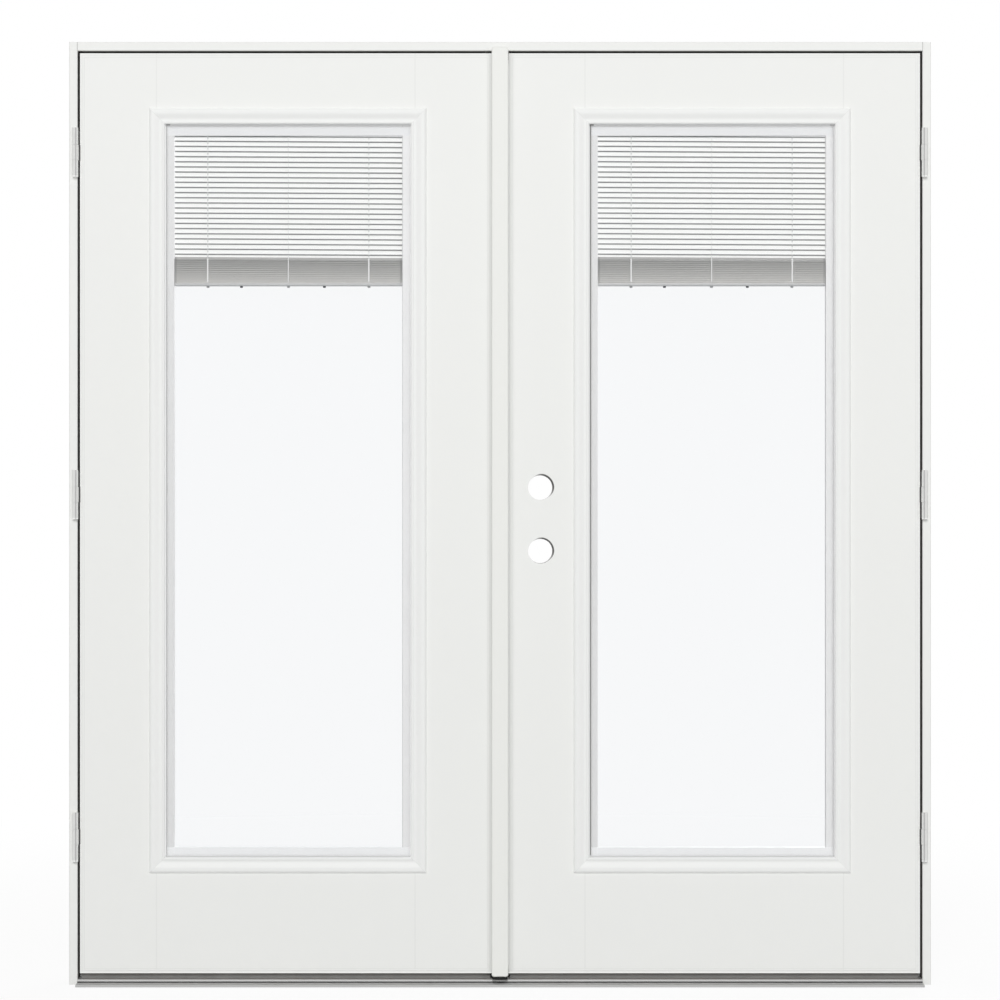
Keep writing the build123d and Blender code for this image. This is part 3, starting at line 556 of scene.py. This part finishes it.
slatLook = {
    "lowEdge": 1.853386, "pitch": 0.01131, "slope": 0.0056, "rolled": (5.0, 900.0, 900.0), "glow": 0.07,
    "dulledByShade": 0.86, "dulledByShadeSoft": 0.04, "edgeShare": 0.11, "edgeSoft": 0.05, "paintedShadowTone": 0.68,
    "stackTop": 1.5978, "stackSoft": (0.0002, 0.0006), "stackLow": 1.5419, "stackHigh": 0.62,
    "stackFoot": 1.0, "stackPower": 1.3, "stackWarm": (1.0, 0.985, 0.97), "stackLines": (1.5, 500.0, 500.0),
    "lineShare": 0.07, "tipFrom": 1.5912, "tipSoft": 0.0005, "tipShadeShare": 0.22, "ends": (0.2450, 0.2465),
    "endShadeTone": 0.80,
}


def slatShade(part):  # 1 at a slat's two edges, where part is its share of the pitch
    low, high = slatLook["edgeShare"], slatLook["dulledByShade"]
    return part.rise(high, high + slatLook["dulledByShadeSoft"]).most(part.fall(low - slatLook["edgeSoft"], low))


def slatEnamel(name, colour):
    # coil-coated strip with rolling lines along it, with painted shadow under the next slat's edge and a
    # faint painted glow;
    # the gathered slats pass in painted shade from grey at the top to light at the foot, as (share of the way
    # down) ** 1.3, with painted shade at their ends and darker still at the top of the stack and the foot of
    # the last hanging slat
    finish = Finish(name)
    x, y, z = finish.axes()
    look = slatLook
    rolled = finish.noise(1.0, 2.0, look["rolled"])
    across = leafAcross(finish)
    level = z + across * look["slope"]
    part = ((level - look["lowEdge"]) / look["pitch"]).math("FRACT")
    gathered = (level - look["stackTop"]).fall(*look["stackSoft"])
    # painted shadow under each slat's edge; the rest of the hanging slats glows faintly as painted light
    dulledByShade = (1.0 - look["paintedShadowTone"] * slatShade(part)) * (1.0 - gathered)
    down = ((look["stackTop"] - z) / (look["stackTop"] - look["stackLow"])).least(1.0).most(0.0)
    lines = finish.noise(1.0, 3.0, look["stackLines"])
    # painted shade of the gathered stack, grey at the top and light at the foot
    stack = look["stackHigh"] + (look["stackFoot"] - look["stackHigh"]) * (down ** look["stackPower"])
    stack = stack + look["lineShare"] * (lines - 0.5)
    stack = stack * (1.0 - look["tipShadeShare"] * level.rise(look["tipFrom"], look["tipFrom"] + look["tipSoft"]))
    stack = stack * (1.0 - (1.0 - look["endShadeTone"]) * abs(across).rise(*look["ends"]))
    tone = (dulledByShade + stack * gathered) * (1.0 - 0.015 * rolled)
    warm = tuple(own * share for own, share in zip(colour, look["stackWarm"]))
    return finish.surface(
        colour=finish.mix(tone, black, finish.mix(gathered, colour, warm)),
        roughness=0.40 + 0.06 * rolled,
        specular=0.3,
        glow=finish.mix(dulledByShade, black, (1.0, 1.0, 0.985)),
        glowPower=look["glow"],
        normal=finish.bump(rolled, 0.00004, 0.4))


cordLook = {
    "plait": 900.0, "outerFrom": (0.05, 0.10), "knotAndShade": (0.62, 0.16, 0.06), "knotAndShadeShare": 0.85,
    "knotAndShadeGrey": (0.24, 0.24, 0.24),
}


def braidedCord(name, colour):
    # plaits as slanted stripes, sin(k (z + x)) + sin(k (z - x)); knots where a rung leaves, between the
    # slats, on the outer cords, and painted shade under the slats' edges on the middle cord
    finish = Finish(name)
    x, y, z = finish.axes()
    look = cordLook
    turns = look["plait"]
    plait = ((z * turns + x * turns).math("SINE") + (z * turns - x * turns).math("SINE")) * 0.25 + 0.5
    part = ((z - slatLook["lowEdge"]) / slatLook["pitch"]).math("FRACT")
    outer = abs(leafAcross(finish)).rise(*look["outerFrom"])
    # painted shade on the middle cord where the slats' edges lie before it
    knotAndShade = part.near(*look["knotAndShade"]) * outer + slatShade(part) * (1.0 - outer)
    knotAndShade = knotAndShade * z.rise(slatLook["stackTop"], slatLook["stackTop"] + 0.001)
    braid = finish.mix(plait, shaded(colour, 0.90), colour)
    return finish.surface(
        colour=finish.mix(knotAndShade * look["knotAndShadeShare"], braid, look["knotAndShadeGrey"]),
        roughness=0.7,
        normal=finish.bump(plait, 0.0002, 0.6))


def platedSteel(name, colour, roughness):  # fine scratches every way over plated steel
    finish = Finish(name)
    scratches = finish.noise(1.0, 3.0, (900.0, 900.0, 40.0))
    cloud = finish.noise(60.0, 2.0)
    return finish.surface(
        colour=finish.mix(cloud, shaded(colour, 0.85), colour),
        roughness=roughness + 0.15 * scratches,
        metallic=1.0,
        normal=finish.bump(scratches, 0.00003, 0.5))


jambPaint = brushedPaint("jambPaint", paints["jamb"], "z")
headPaint = brushedPaint("headPaint", paints["jamb"], "x")
leafPaint = mouldedSkin("leafPaint", paints["leaf"], 0.50)
mouldingPaint = mouldedFrame("mouldingPaint", paints["moulding"])
stripPaint = sprayedPaint("stripPaint", paints["strip"], 0.50)
hingePaint = hingeEnamel("hingePaint", paints["hinge"], paints["hinge"])
# the dark gap colour is painted shade beside the knuckles of the leaves' hinges
swingPaint = hingeEnamel("swingPaint", paints["hinge"], (0.07, 0.07, 0.07))
sillMetal = millMetal("sillMetal", (0.54, 0.54, 0.535))
sillBoard = compositeBoard("sillBoard", (0.30, 0.26, 0.20), (0.12, 0.10, 0.08))
blockBoard = compositeBoard("blockBoard", (0.20, 0.19, 0.17), (0.11, 0.105, 0.095))
blackRubber = rubber("blackRubber", (0.035, 0.035, 0.036))
stripBoot = bootRubber("stripBoot")
sweepVinyl = sweepRubber("sweepVinyl", (0.27, 0.27, 0.265), 0.0240)
sealVinyl = rubber("sealVinyl", (0.27, 0.27, 0.265))
gasketShadeGrey = gasketVinyl("gasketShadeGrey")
sealFoam = rubber("sealFoam", (0.016, 0.015, 0.014))
leafWood = leafTimber("leafWood")
coreFoam = foamBoard("coreFoam", (0.85, 0.80, 0.62), 500.0)
paneGlass = clearGlass("paneGlass")
# the first colour, on the left bands, is darker as painted shade
spacerWhite = channelPlastic("spacerWhite", (0.775, 0.77, 0.765), (0.85, 0.845, 0.84))
railWhite = headrailEnamel("railWhite", (0.86, 0.86, 0.86))
railGrey = satinPlastic("railGrey", (0.55, 0.55, 0.545), 0.38)
slatWhite = slatEnamel("slatWhite", (0.95, 0.95, 0.935))
cordGrey = braidedCord("cordGrey", (0.93, 0.93, 0.92))
cordWhite = braidedCord("cordWhite", (0.97, 0.97, 0.96))
knobWhite = satinPlastic("knobWhite", (0.84, 0.845, 0.835), 0.40)
plugDark = satinPlastic("plugDark", (0.06, 0.06, 0.06), 0.45)
plugGrey = satinPlastic("plugGrey", (0.42, 0.42, 0.415), 0.45)
boltSteel = platedSteel("boltSteel", (0.56, 0.55, 0.53), 0.30)
strikeSteel = platedSteel("strikeSteel", (0.62, 0.61, 0.58), 0.28)
screwZinc = platedSteel("screwZinc", (0.66, 0.65, 0.62), 0.26)
print("finishes ready")


# The frame's own nodes keep their shape and take a finish

def dress(finish, *nodes):
    for node in nodes:
        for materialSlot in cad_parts[node].material_slots:
            materialSlot.material = finish.material


def both(*ends):
    return [side + end for side in ("left_", "right_") for end in ends]


dress(jambPaint, *both("jamb"))
dress(headPaint, "head_jamb")
dress(strikeSteel, "head_strike")
dress(sillMetal, "sill_deck", "sill_riser")
dress(sillBoard, "sill_base")
dress(blackRubber, "astragal_seal")
dress(stripBoot, "astragal_boot")
dress(sealVinyl, "sill_seal")
dress(sweepVinyl, *both("bottom_sweep"))
dress(sealFoam, "head_weatherstrip", *both("weatherstrip"))
dress(hingePaint, "jamb_hinge_leaves")
dress(swingPaint, *both("door_hinge_leaves"))
dress(leafPaint, *both("outer_skin", "inner_skin"))
dress(leafWood, "astragal_body", *both("hinge_stile", "lock_stile", "top_rail", "bottom_rail"))
dress(blockBoard, "lock_block")
dress(coreFoam, *both("core"))
dress(mouldingPaint, *both("outer_lite_frame", "inner_lite_frame"))
dress(paneGlass, *both("outer_pane", "inner_pane"))
dress(spacerWhite, *both("spacer"))
dress(railWhite, *both("blind_headrail", "blind_bottom_rail"))
dress(slatWhite, *both("blind_slats"))
dress(cordGrey, *both("ladder_cords"))
dress(knobWhite, *both("tilt_knob", "lift_knob"))
dress(stripPaint, "astragal_nose")
dress(boltSteel, "top_flush_bolt", "bottom_flush_bolt")
print("frame nodes dressed")


# New surfaces

def sheetFaces(rows, columns):  # four-sided faces between neighbours on a grid of rows and columns
    first = (np.arange(rows - 1)[:, None] * columns + np.arange(columns - 1)[None, :]).reshape(-1)
    return np.stack([first, first + 1, first + columns + 1, first + columns], axis=1)


def makePiece(name, grids, finish, body):
    # each of grids is copies x rows x columns x 3; ends that meet are merged, and faces turned outwards
    points, faces, used = [], [], 0
    for grid in grids:
        copies, rows, columns = grid.shape[:3]
        one = sheetFaces(rows, columns)
        faces.append((one[None] + np.arange(copies)[:, None, None] * rows * columns).reshape(-1, 4) + used)
        points.append(grid.reshape(-1, 3))
        used += copies * rows * columns
    mesh = bpy.data.meshes.new(name)
    mesh.from_pydata(np.concatenate(points), [], np.concatenate(faces).tolist())
    shape = bmesh.new()
    shape.from_mesh(mesh)
    bmesh.ops.remove_doubles(shape, verts=shape.verts, dist=1e-6)
    bmesh.ops.dissolve_degenerate(shape, edges=shape.edges, dist=1e-6)
    bmesh.ops.recalc_face_normals(shape, faces=shape.faces)
    shape.to_mesh(mesh)
    shape.free()
    mesh.materials.append(finish.material)
    mesh.polygons.foreach_set("use_smooth", np.full(len(mesh.polygons), True))
    mesh.set_sharp_from_angle(angle=np.radians(40.0))
    piece = bpy.data.objects.new(name, mesh)
    bpy.context.scene.collection.objects.link(piece)
    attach(piece, body)
    return piece


def closedEnds(grid):
    # grid is copies x rows x columns x 3 round a closed section: a row shrunk to the middle shuts each end
    first = np.broadcast_to(grid[:, :1].mean(axis=2, keepdims=True), grid[:, :1].shape)
    last = np.broadcast_to(grid[:, -1:].mean(axis=2, keepdims=True), grid[:, -1:].shape)
    return np.concatenate([first, grid, last], axis=1)


def closedSection(points):
    return np.concatenate([points, points[:1]])


def roundSection(halfWide, halfHigh, power, columns):
    # t turns once round: wide * sign(cos t) |cos t| ** (2 / power), high * sign(sin t) |sin t| ** (2 / power)
    t = np.linspace(0.0, 2 * np.pi, columns + 1)
    c, s = np.cos(t), np.sin(t)
    section = np.stack([halfWide * np.sign(c) * np.abs(c) ** (2 / power),
                        halfHigh * np.sign(s) * np.abs(s) ** (2 / power)], axis=1)
    section[-1] = section[0]
    return section


def lathe(profile, columns):
    # each (radius, height) of the profile turns once round z
    t = np.linspace(0.0, 2 * np.pi, columns + 1)
    t[-1] = 0.0
    radius, height = np.asarray(profile).T
    return np.stack([radius[:, None] * np.cos(t), radius[:, None] * np.sin(t),
                     np.broadcast_to(height[:, None], (len(radius), columns + 1))], axis=-1)


def copied(grid, places):
    return grid[None] + np.asarray(places)[:, None, None, :]


def meshed(x, y, z):  # three arrays that broadcast together, as one grid of points
    grid = np.stack(np.broadcast_arrays(x, y, z), axis=-1)
    return grid.reshape(-1, *grid.shape[-3:])


bodyOf = {"left": "inactive_leaf", "right": "active_leaf"}
sides = ((-1, "left"), (1, "right"))  # the way from the middle of the pair, and the word in the nodes' names

slatSizes = {
    "centre": 0.46575, "span": 0.5005, "depth": 0.023225, "chord": 0.0155, "crown": 0.0013, "thick": 0.0004,
    "first": 1.859493, "pitch": 0.01131, "count": 24, "tilt": 52.0, "tiltSway": 0.8, "stations": 9,
    "runs": 7, "wander": 0.00012, "wanderTurns": (1.9, 9.0), "slope": 0.0056, "ceiling": 1.8658,
    "stackTop": 1.593200, "stackLow": 1.541906, "stackCount": 46, "stackTilt": 5.0, "stackSway": 2.5,
    "stackWander": 0.00008, "stackSeat": 0.0003,
}


def slatSection(sizes):
    # u runs from -1 to 1 across the slat: the top is crown * (1 - u * u), the underside a thickness lower
    u = np.linspace(-1.0, 1.0, sizes["stations"])
    top = np.stack([u * sizes["chord"] / 2, sizes["crown"] * (1 - u * u)], axis=1)
    under = top[::-1] - (0.0, sizes["thick"])
    return closedSection(np.concatenate([top, under]))


def carrySlats(side, heights, tilts, slopes, wander):
    # the section is turned by each slat's tilt and carried along x, falling by its slope, with a slow wander
    sizes = slatSizes
    section = slatSection(sizes)
    run = np.linspace(-0.5, 0.5, sizes["runs"]) * sizes["span"]
    order = np.arange(len(heights))
    perSlat, perMetre = sizes["wanderTurns"]
    c, s = np.cos(tilts)[:, None, None], np.sin(tilts)[:, None, None]
    drift = wander * np.sin(order[:, None] * perSlat + run[None, :] * perMetre + side)
    across = section[None, None, :, 0] * c - section[None, None, :, 1] * s
    up = section[None, None, :, 0] * s + section[None, None, :, 1] * c
    height = heights[:, None, None] + up + drift[:, :, None] - slopes[:, None, None] * run[None, :, None]
    return closedEnds(meshed(side * sizes["centre"] + run[None, :, None], sizes["depth"] + across,
                             np.minimum(height, sizes["ceiling"])))


def makeSlats(side, word):
    # hanging slat n sits n pitches below the first; the gathered ones share the room over the rail evenly,
    # level at the foot and as sloped as the hanging ones at the top
    sizes = slatSizes
    order = np.arange(sizes["count"])
    heights = sizes["first"] - order * sizes["pitch"]
    tilts = np.radians(sizes["tilt"] + sizes["tiltSway"] * np.sin(order * 2.3 + side))
    hanging = carrySlats(side, heights, tilts, np.full(len(order), sizes["slope"]), sizes["wander"])
    nested = np.arange(sizes["stackCount"])
    room = (sizes["stackTop"] - sizes["stackLow"]) / sizes["stackCount"]
    heights = sizes["stackLow"] + sizes["stackSeat"] + nested * room
    tilts = np.radians(sizes["stackTilt"] + sizes["stackSway"] * np.sin(nested * 1.7 + side))
    slopes = sizes["slope"] * nested / sizes["stackCount"]
    gathered = carrySlats(side, heights, tilts, slopes, sizes["stackWander"])
    piece = makePiece(word + "Slats", [hanging, gathered], slatWhite, bodyOf[word])
    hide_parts(word + "_blind_slats")


railSizes = {"high": 0.0068, "rounding": 0.0013, "plugRadius": 0.0033, "plugDrop": 0.0036,
             "ladders": (-0.17718, 0.0, 0.17718), "lifts": (-0.1035, 0.0791)}


def makeBottomRail(side, word):
    # a rounded section carried along x; each end draws in by r * (1 - sin t) over its last r * (1 - cos t)
    sizes, slats = railSizes, slatSizes
    turn = np.linspace(0.0, np.pi / 2, 5)
    tip = slats["span"] / 2 - sizes["rounding"] * (1 - np.cos(turn))
    drawn = sizes["rounding"] * (1 - np.sin(turn))
    along, inset = np.concatenate([-tip, tip[::-1]]), np.concatenate([drawn, drawn[::-1]])
    out, up = roundSection(1.0, 1.0, 5.0, 32).T
    half = sizes["high"] / 2
    grid = meshed(side * slats["centre"] + along[:, None],
                  slats["depth"] + out * (slats["chord"] / 2 - inset[:, None]),
                  slats["stackLow"] - half + up * (half - inset[:, None]))
    rail = makePiece(word + "BottomRail", [closedEnds(grid)], railGrey, bodyOf[word])
    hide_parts(word + "_blind_bottom_rail")
    radius, drop = sizes["plugRadius"], sizes["plugDrop"]
    button = lathe([(0.0, 0.0004), (radius, 0.0004), (radius, -0.5 * drop), (0.9 * radius, -0.85 * drop),
                    (0.65 * radius, -drop), (0.3 * radius, -drop), (0.22 * radius, -0.7 * drop),
                    (0.0, -0.65 * drop)], 20)
    for kind, finish in (("ladders", plugGrey), ("lifts", plugDark)):
        places = [(side * slats["centre"] + offset, slats["depth"], slats["stackLow"] - sizes["high"])
                  for offset in sizes[kind]]
        makePiece(word + kind.capitalize() + "Plugs", [copied(button, places)], finish, bodyOf[word])


loopSizes = {"front": 0.01465, "thick": 0.00090, "sway": 0.0011, "loops": 11, "outer": 1.0, "middle": 0.45,
             "stations": 199, "lift": 0.0015, "cross": 0.00018}


def tube(path, radius, columns):
    # circles of the given radius stand across the path: sideways is x, the other way is at right angles to it
    along = np.gradient(path, axis=0)
    along = along / np.linalg.norm(along, axis=1, keepdims=True)
    depth = np.array([0.0, 1.0, 0.0])
    aside = np.cross(along, depth)
    aside = aside / np.linalg.norm(aside, axis=1, keepdims=True)
    t = np.linspace(0.0, 2 * np.pi, columns + 1)
    t[-1] = 0.0
    return (path[:, None] + radius * (np.cos(t)[None, :, None] * aside[:, None]
                                      + np.sin(t)[None, :, None] * depth))[None]


def makeCordLoops(side, word):
    # slack ladder cord before the gathered slats: two strands swing apart from the middle by
    # sway * (0.55 + 0.45 * sin(2 pi loops v +- 1)), and pass before each other by cross * cos(2 pi v)
    sizes, slats = loopSizes, slatSizes
    v = np.linspace(0.0, 1.0, sizes["stations"])
    high, low = slats["stackTop"] + sizes["lift"], slats["stackLow"] + sizes["lift"]
    grids = []
    for offset in railSizes["ladders"]:
        share = sizes["middle"] if offset == 0 else sizes["outer"]
        for way in (-1, 1):
            swing = way * share * sizes["sway"] * (0.55 + 0.45 * np.sin(2 * np.pi * sizes["loops"] * v + way))
            depth = sizes["front"] - sizes["cross"] * way * np.cos(2 * np.pi * v)
            path = np.stack([side * slats["centre"] + offset + swing, depth, high + (low - high) * v], axis=1)
            grids.append(closedEnds(tube(path, sizes["thick"] * (0.6 + 0.4 * share), 8)))
    makePiece(word + "CordLoops", grids, cordWhite, bodyOf[word])


gasketSizes = {"halfWide": 0.27035, "halfHigh": 0.8054, "middle": 1.0847, "centre": 0.46575,
               "front": 0.010525, "back": 0.035925, "bite": 0.0024, "swell": 0.0018,
               "reach": {"left": (1.5, 0.8, 1.0, 1.0), "right": (2.0, 1.5, 1.0, 1.0)}}


# the gasket's grey tip lies along the lip's shadow line as painted shade; its reach on each side follows that
# shadow's width
def makeGaskets(side, word):
    # a quarter-round section, given as (inward, proud), carried round the four mitred corners of the opening
    sizes = gasketSizes
    t = np.linspace(0.0, np.pi / 2, 6)
    section = closedSection(np.concatenate([[(0.0, 0.0)], np.stack([sizes["bite"] * np.cos(t),
                                                                    sizes["swell"] * np.sin(t)], axis=1)]))
    corners = np.array([(-1, -1), (1, -1), (1, 1), (-1, 1), (-1, -1)], dtype=float)
    toLeft, toRight, toFoot, toTop = sizes["reach"][word]
    wideBy = np.where(corners[:, :1] < 0, toLeft, toRight)
    highBy = np.where(corners[:, 1:] < 0, toFoot, toTop)
    wide = side * sizes["centre"] + corners[:, :1] * (sizes["halfWide"] - wideBy * section[:, 0])
    high = sizes["middle"] + corners[:, 1:] * (sizes["halfHigh"] - highBy * section[:, 0])
    rings = [meshed(wide, face + way * section[:, 1], high)
             for face, way in ((sizes["front"], -1), (sizes["back"], 1))]
    makePiece(word + "GlazingGaskets", rings, gasketShadeGrey, bodyOf[word])


for side, word in sides:
    makeSlats(side, word)
    makeBottomRail(side, word)
    makeCordLoops(side, word)
    makeGaskets(side, word)
print("blinds hung, glass bedded")


knobSizes = {"wide": 0.011, "long": 0.026, "high": 0.008, "base": 0.05095, "stemHalf": 0.0022,
             "stemLow": 0.04495, "stemLong": 0.018, "stemBite": 0.001, "scoop": 0.0014, "scoopReach": 0.007,
             "ribHeight": 0.00022, "ribPitch": 0.0022, "ribReach": 0.0088, "track": 0.27985,
             "tiltHeight": 1.6453, "liftHeight": 0.6583}


def makeKnob(side, word, kind, reach, height):
    # sections stand across z, v runs along it: half width W * (1 - v ** 4) ** (1 / 4),
    # height H * (1 - v ** 8) ** (1 / 4); the top sinks by scoop * exp(-(z / scoopReach) ** 2)
    # and is cut into ribs by ribHeight * (1 - cos(2 pi z / ribPitch))
    sizes = knobSizes
    v = np.sin(np.linspace(-np.pi / 2, np.pi / 2, 73))
    ring = roundSection(1.0, 1.0, 4.0, 40)
    wide = sizes["wide"] / 2 * (1 - v ** 4) ** 0.25
    high = sizes["high"] * np.clip(1 - v ** 8, 0, 1) ** 0.25
    z = v * sizes["long"] / 2
    hollow = sizes["scoop"] * np.exp(-(z / sizes["scoopReach"]) ** 2)
    ribs = sizes["ribHeight"] * (np.cos(2 * np.pi * z / sizes["ribPitch"]) - 1)
    ribs = ribs * (np.abs(z) < sizes["ribReach"])
    lift = np.clip(ring[:, 1], 0, 1) * np.clip(1.2 - ring[:, 0] ** 4, 0, 1)
    centreX = side * slatSizes["centre"] + reach * sizes["track"]
    proud = high[:, None] * (1 + ring[None, :, 1]) / 2 + (ribs - hollow)[:, None] * lift[None, :]
    grid = meshed(centreX + wide[:, None] * ring[:, 0], sizes["base"] + proud, height + z[:, None])
    stem = roundSection(sizes["stemHalf"], sizes["stemLong"] / 2, 8.0, 24)
    ends = np.array([[sizes["stemLow"]], [sizes["base"] + sizes["stemBite"]]])
    post = meshed(centreX + stem[:, 0], ends, height + stem[:, 1])
    piece = makePiece(f"{word}{kind}Knob", [grid, closedEnds(post)], knobWhite,
                      f"{word}_{kind.lower()}_slider")
    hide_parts(f"{word}_{kind.lower()}_knob")


for side, word in sides:
    makeKnob(side, word, "Tilt", -1, knobSizes["tiltHeight"])
    makeKnob(side, word, "Lift", 1, knobSizes["liftHeight"])
print("operators fitted")


sealSizes = {"jambFace": 0.9278, "reach": 0.0125, "front": 0.04575, "back": 0.05345, "low": 0.0303,
             "headUnder": 2.0508, "stopUnder": 2.0373, "kerfWide": 0.0024, "kerfDeep": 0.007}


def straightSeal(section, low, high, alongX):
    # a section of (inward, depth) points is carried straight from low to high, with shut ends
    ends = np.array([[low], [high]])
    inward, depth = section.T
    return closedEnds(meshed(ends, depth, inward) if alongX else meshed(inward, depth, ends))


def makeSeals():  # a bulb on each stop, with the barb that holds it in the kerf behind
    sizes = sealSizes
    halfDeep = (sizes["back"] - sizes["front"]) / 2
    bulb = roundSection(sizes["reach"] / 2, halfDeep, 3.2, 28) + (0.0, sizes["front"] + halfDeep)
    barb = roundSection(sizes["kerfWide"] / 2, sizes["kerfDeep"] / 2, 8.0, 16)
    barb = barb + (0.0, sizes["back"] + sizes["kerfDeep"] / 2)
    for side, word in sides:
        pad = bulb + (side * (sizes["jambFace"] - sizes["reach"] / 2), 0.0)
        fin = barb + (side * (sizes["jambFace"] - sizes["kerfWide"] / 2), 0.0)
        grids = [straightSeal(pad, sizes["low"], sizes["headUnder"], False),
                 straightSeal(fin, sizes["low"], sizes["stopUnder"], False)]
        piece = makePiece(word + "Seal", grids, sealFoam, "frame")
        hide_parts(word + "_weatherstrip")
    reach = sizes["jambFace"] - sizes["reach"]
    grids = [straightSeal(bulb + (sizes["headUnder"] - sizes["reach"] / 2, 0.0), -reach, reach, True),
             straightSeal(barb + (sizes["headUnder"] - sizes["kerfWide"] / 2, 0.0), -reach, reach, True)]
    piece = makePiece("headSeal", grids, sealFoam, "frame")
    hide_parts("head_weatherstrip")


makeSeals()
print("seals fitted")


screwSizes = {"radius": 0.0042, "proud": 0.00045, "sunk": 0.0006, "slot": 0.00045, "slotReach": 0.0023,
              "slotDeep": 0.0006, "hingeHeights": (0.325, 1.076, 1.827),
              "spots": ((0.013, -0.038), (0.027, -0.014), (0.013, 0.014), (0.027, 0.038)),
              "jambPlate": 0.9278, "leafPlate": 0.9223,
              "strikeSpots": ((-0.024, 0.023225, 2.0508), (0.017, 0.023225, 2.0508))}


def screwHead():
    # a low dome, proud * sqrt(1 - (r / R) ** 2), less a cross: deep * exp(-(least(|a|, |b|) / slot) ** 4)
    sizes = screwSizes
    radii = np.concatenate([[0.0], np.linspace(1.0, 0.0, 11)]) * sizes["radius"]
    grid = lathe(np.stack([radii, np.zeros(len(radii))], axis=1), 32)
    a, b, r = grid[..., 0], grid[..., 1], radii[:, None]
    dome = sizes["proud"] * np.sqrt(np.clip(1 - (r / sizes["radius"]) ** 2, 0, 1))
    cross = np.exp(-(np.minimum(np.abs(a), np.abs(b)) / sizes["slot"]) ** 4)
    cross = cross / (1 + np.exp((r - sizes["slotReach"]) / 0.0001))
    grid[..., 2] = dome - sizes["slotDeep"] * cross
    grid[0, :, 2] = -sizes["sunk"]
    foot = grid[1:2].copy()
    foot[..., 2] = -sizes["sunk"]
    return np.concatenate([grid[:1], foot, grid[1:]])


def plateScrews(side, face, way):
    # the head's own axis turns from z to x, towards way
    head = screwHead()
    turned = np.stack([way * head[..., 2], head[..., 0], head[..., 1]], axis=-1)
    places = [(side * face, depth, height + up)
              for height in screwSizes["hingeHeights"] for depth, up in screwSizes["spots"]]
    return copied(turned, places)


def makeScrews():  # heads on the jambs' plates, on the leaves' plates and in the strike overhead
    sizes = screwSizes
    jambHeads = [plateScrews(side, sizes["jambPlate"], -side) for side, word in sides]
    makePiece("jambPlateScrews", jambHeads, screwZinc, "frame")
    for side, word in sides:
        leafHeads = plateScrews(side, sizes["leafPlate"], side)
        makePiece(word + "PlateScrews", [leafHeads], screwZinc, bodyOf[word])
    head = screwHead()
    down = np.stack([head[..., 0], head[..., 1], -head[..., 2]], axis=-1)
    makePiece("strikeScrews", [copied(down, sizes["strikeSpots"])], screwZinc, "frame")


makeScrews()
print("screws driven")


# Studio

studio = {
    "keyPlace": (-1.0, -17.0, 8.4), "keyAim": (0.0, 0.0, 0.95), "keyPower": 1765.0, "keySize": 6.5,
    "fillPlace": (6.5, -9.5, 2.4), "fillAim": (0.0, 0.0, 1.0), "fillPower": 60.0, "fillSize": 4.0,
    "rearPlace": (4.0, 11.0, 5.0), "rearAim": (0.0, 0.0, 1.0), "rearPower": 520.0, "rearSize": 5.0,
    "worldLight": 0.41, "floorColour": (0.63, 0.63, 0.63), "floorSeen": (0.97, 0.97, 0.97),
    "floorHalf": 24.0, "floorHeight": -0.0002, "shadowKept": 0.11, "shadowReach": (1.2, 4.0),
    "cameraPlace": (0.0, -7.3, 1.0643), "lens": 119.7,
}


def addLamp(name, place, aim, power, size):
    lamp = bpy.data.lights.new(name, "AREA")
    lamp.energy = power
    lamp.size = size
    holder = bpy.data.objects.new(name, lamp)
    holder.location = place
    holder.rotation_euler = (Vector(aim) - Vector(place)).to_track_quat("-Z", "Y").to_euler()
    bpy.context.scene.collection.objects.link(holder)


def seenDirectly(finish):  # 1 for camera, glossy and transmission rays
    rays = [finish.node("LightPath", out=ray)
            for ray in ("Is Camera Ray", "Is Glossy Ray", "Is Transmission Ray")]
    return rays[0].most(rays[1]).most(rays[2])


def makeWorld():
    world = bpy.data.worlds.new("studioWorld")
    world.use_nodes = True
    bpy.context.scene.world = world
    air = Finish("studioWorld", world.node_tree)
    lighting = air.node("Background", inputs={"Color": white, "Strength": studio["worldLight"]})
    backdrop = air.node("Background", inputs={"Color": white, "Strength": 1.0})
    mixed = air.node("MixShader", inputs={0: seenDirectly(air), 1: lighting, 2: backdrop})
    air.node("OutputWorld", inputs={"Surface": mixed})


def makeFloor():  # white to the camera, with part of its own shading kept near the object
    finish = Finish("floorPaint")
    x, y, z = finish.axes()
    away = ((x * x + y * y) ** 0.5).rise(*studio["shadowReach"])
    grain = finish.noise(40.0, 2.0)
    seen = seenDirectly(finish)
    tone = finish.mix(seen, studio["floorColour"], studio["floorSeen"])
    matt = finish.node("BsdfPrincipled", inputs={
        "Base Color": finish.mix(grain * 0.01, tone, black),
        "Roughness": 0.8, "Specular IOR Level": 0.1})
    light = finish.node("Emission", inputs={"Color": white, "Strength": 1.0})
    share = seen * (1.0 - studio["shadowKept"] * (1.0 - away))
    mixed = finish.node("MixShader", inputs={0: share, 1: matt, 2: light})
    finish.node("OutputMaterial", inputs={"Surface": mixed})
    half, low = studio["floorHalf"], studio["floorHeight"]
    corners = [(-half, -half, low), (half, -half, low), (half, half, low), (-half, half, low)]
    mesh = bpy.data.meshes.new("floor")
    mesh.from_pydata(corners, [], [(0, 1, 2, 3)])
    mesh.materials.append(finish.material)
    floor = bpy.data.objects.new("floor", mesh)
    bpy.context.scene.collection.objects.link(floor)


for lamp in ("key", "fill", "rear"):
    addLamp(lamp + "Lamp", *(studio[lamp + part] for part in ("Place", "Aim", "Power", "Size")))
makeWorld()
makeFloor()
eye = bpy.data.cameras.new("camera")
eye.lens = studio["lens"]
eye.clip_end = 200.0
camera = bpy.data.objects.new("camera", eye)
camera.location = studio["cameraPlace"]
camera.rotation_euler = (np.pi / 2, 0.0, 0.0)
bpy.context.scene.collection.objects.link(camera)
bpy.context.scene.camera = camera
bpy.context.scene.view_settings.view_transform = "Standard"
print("studio set")
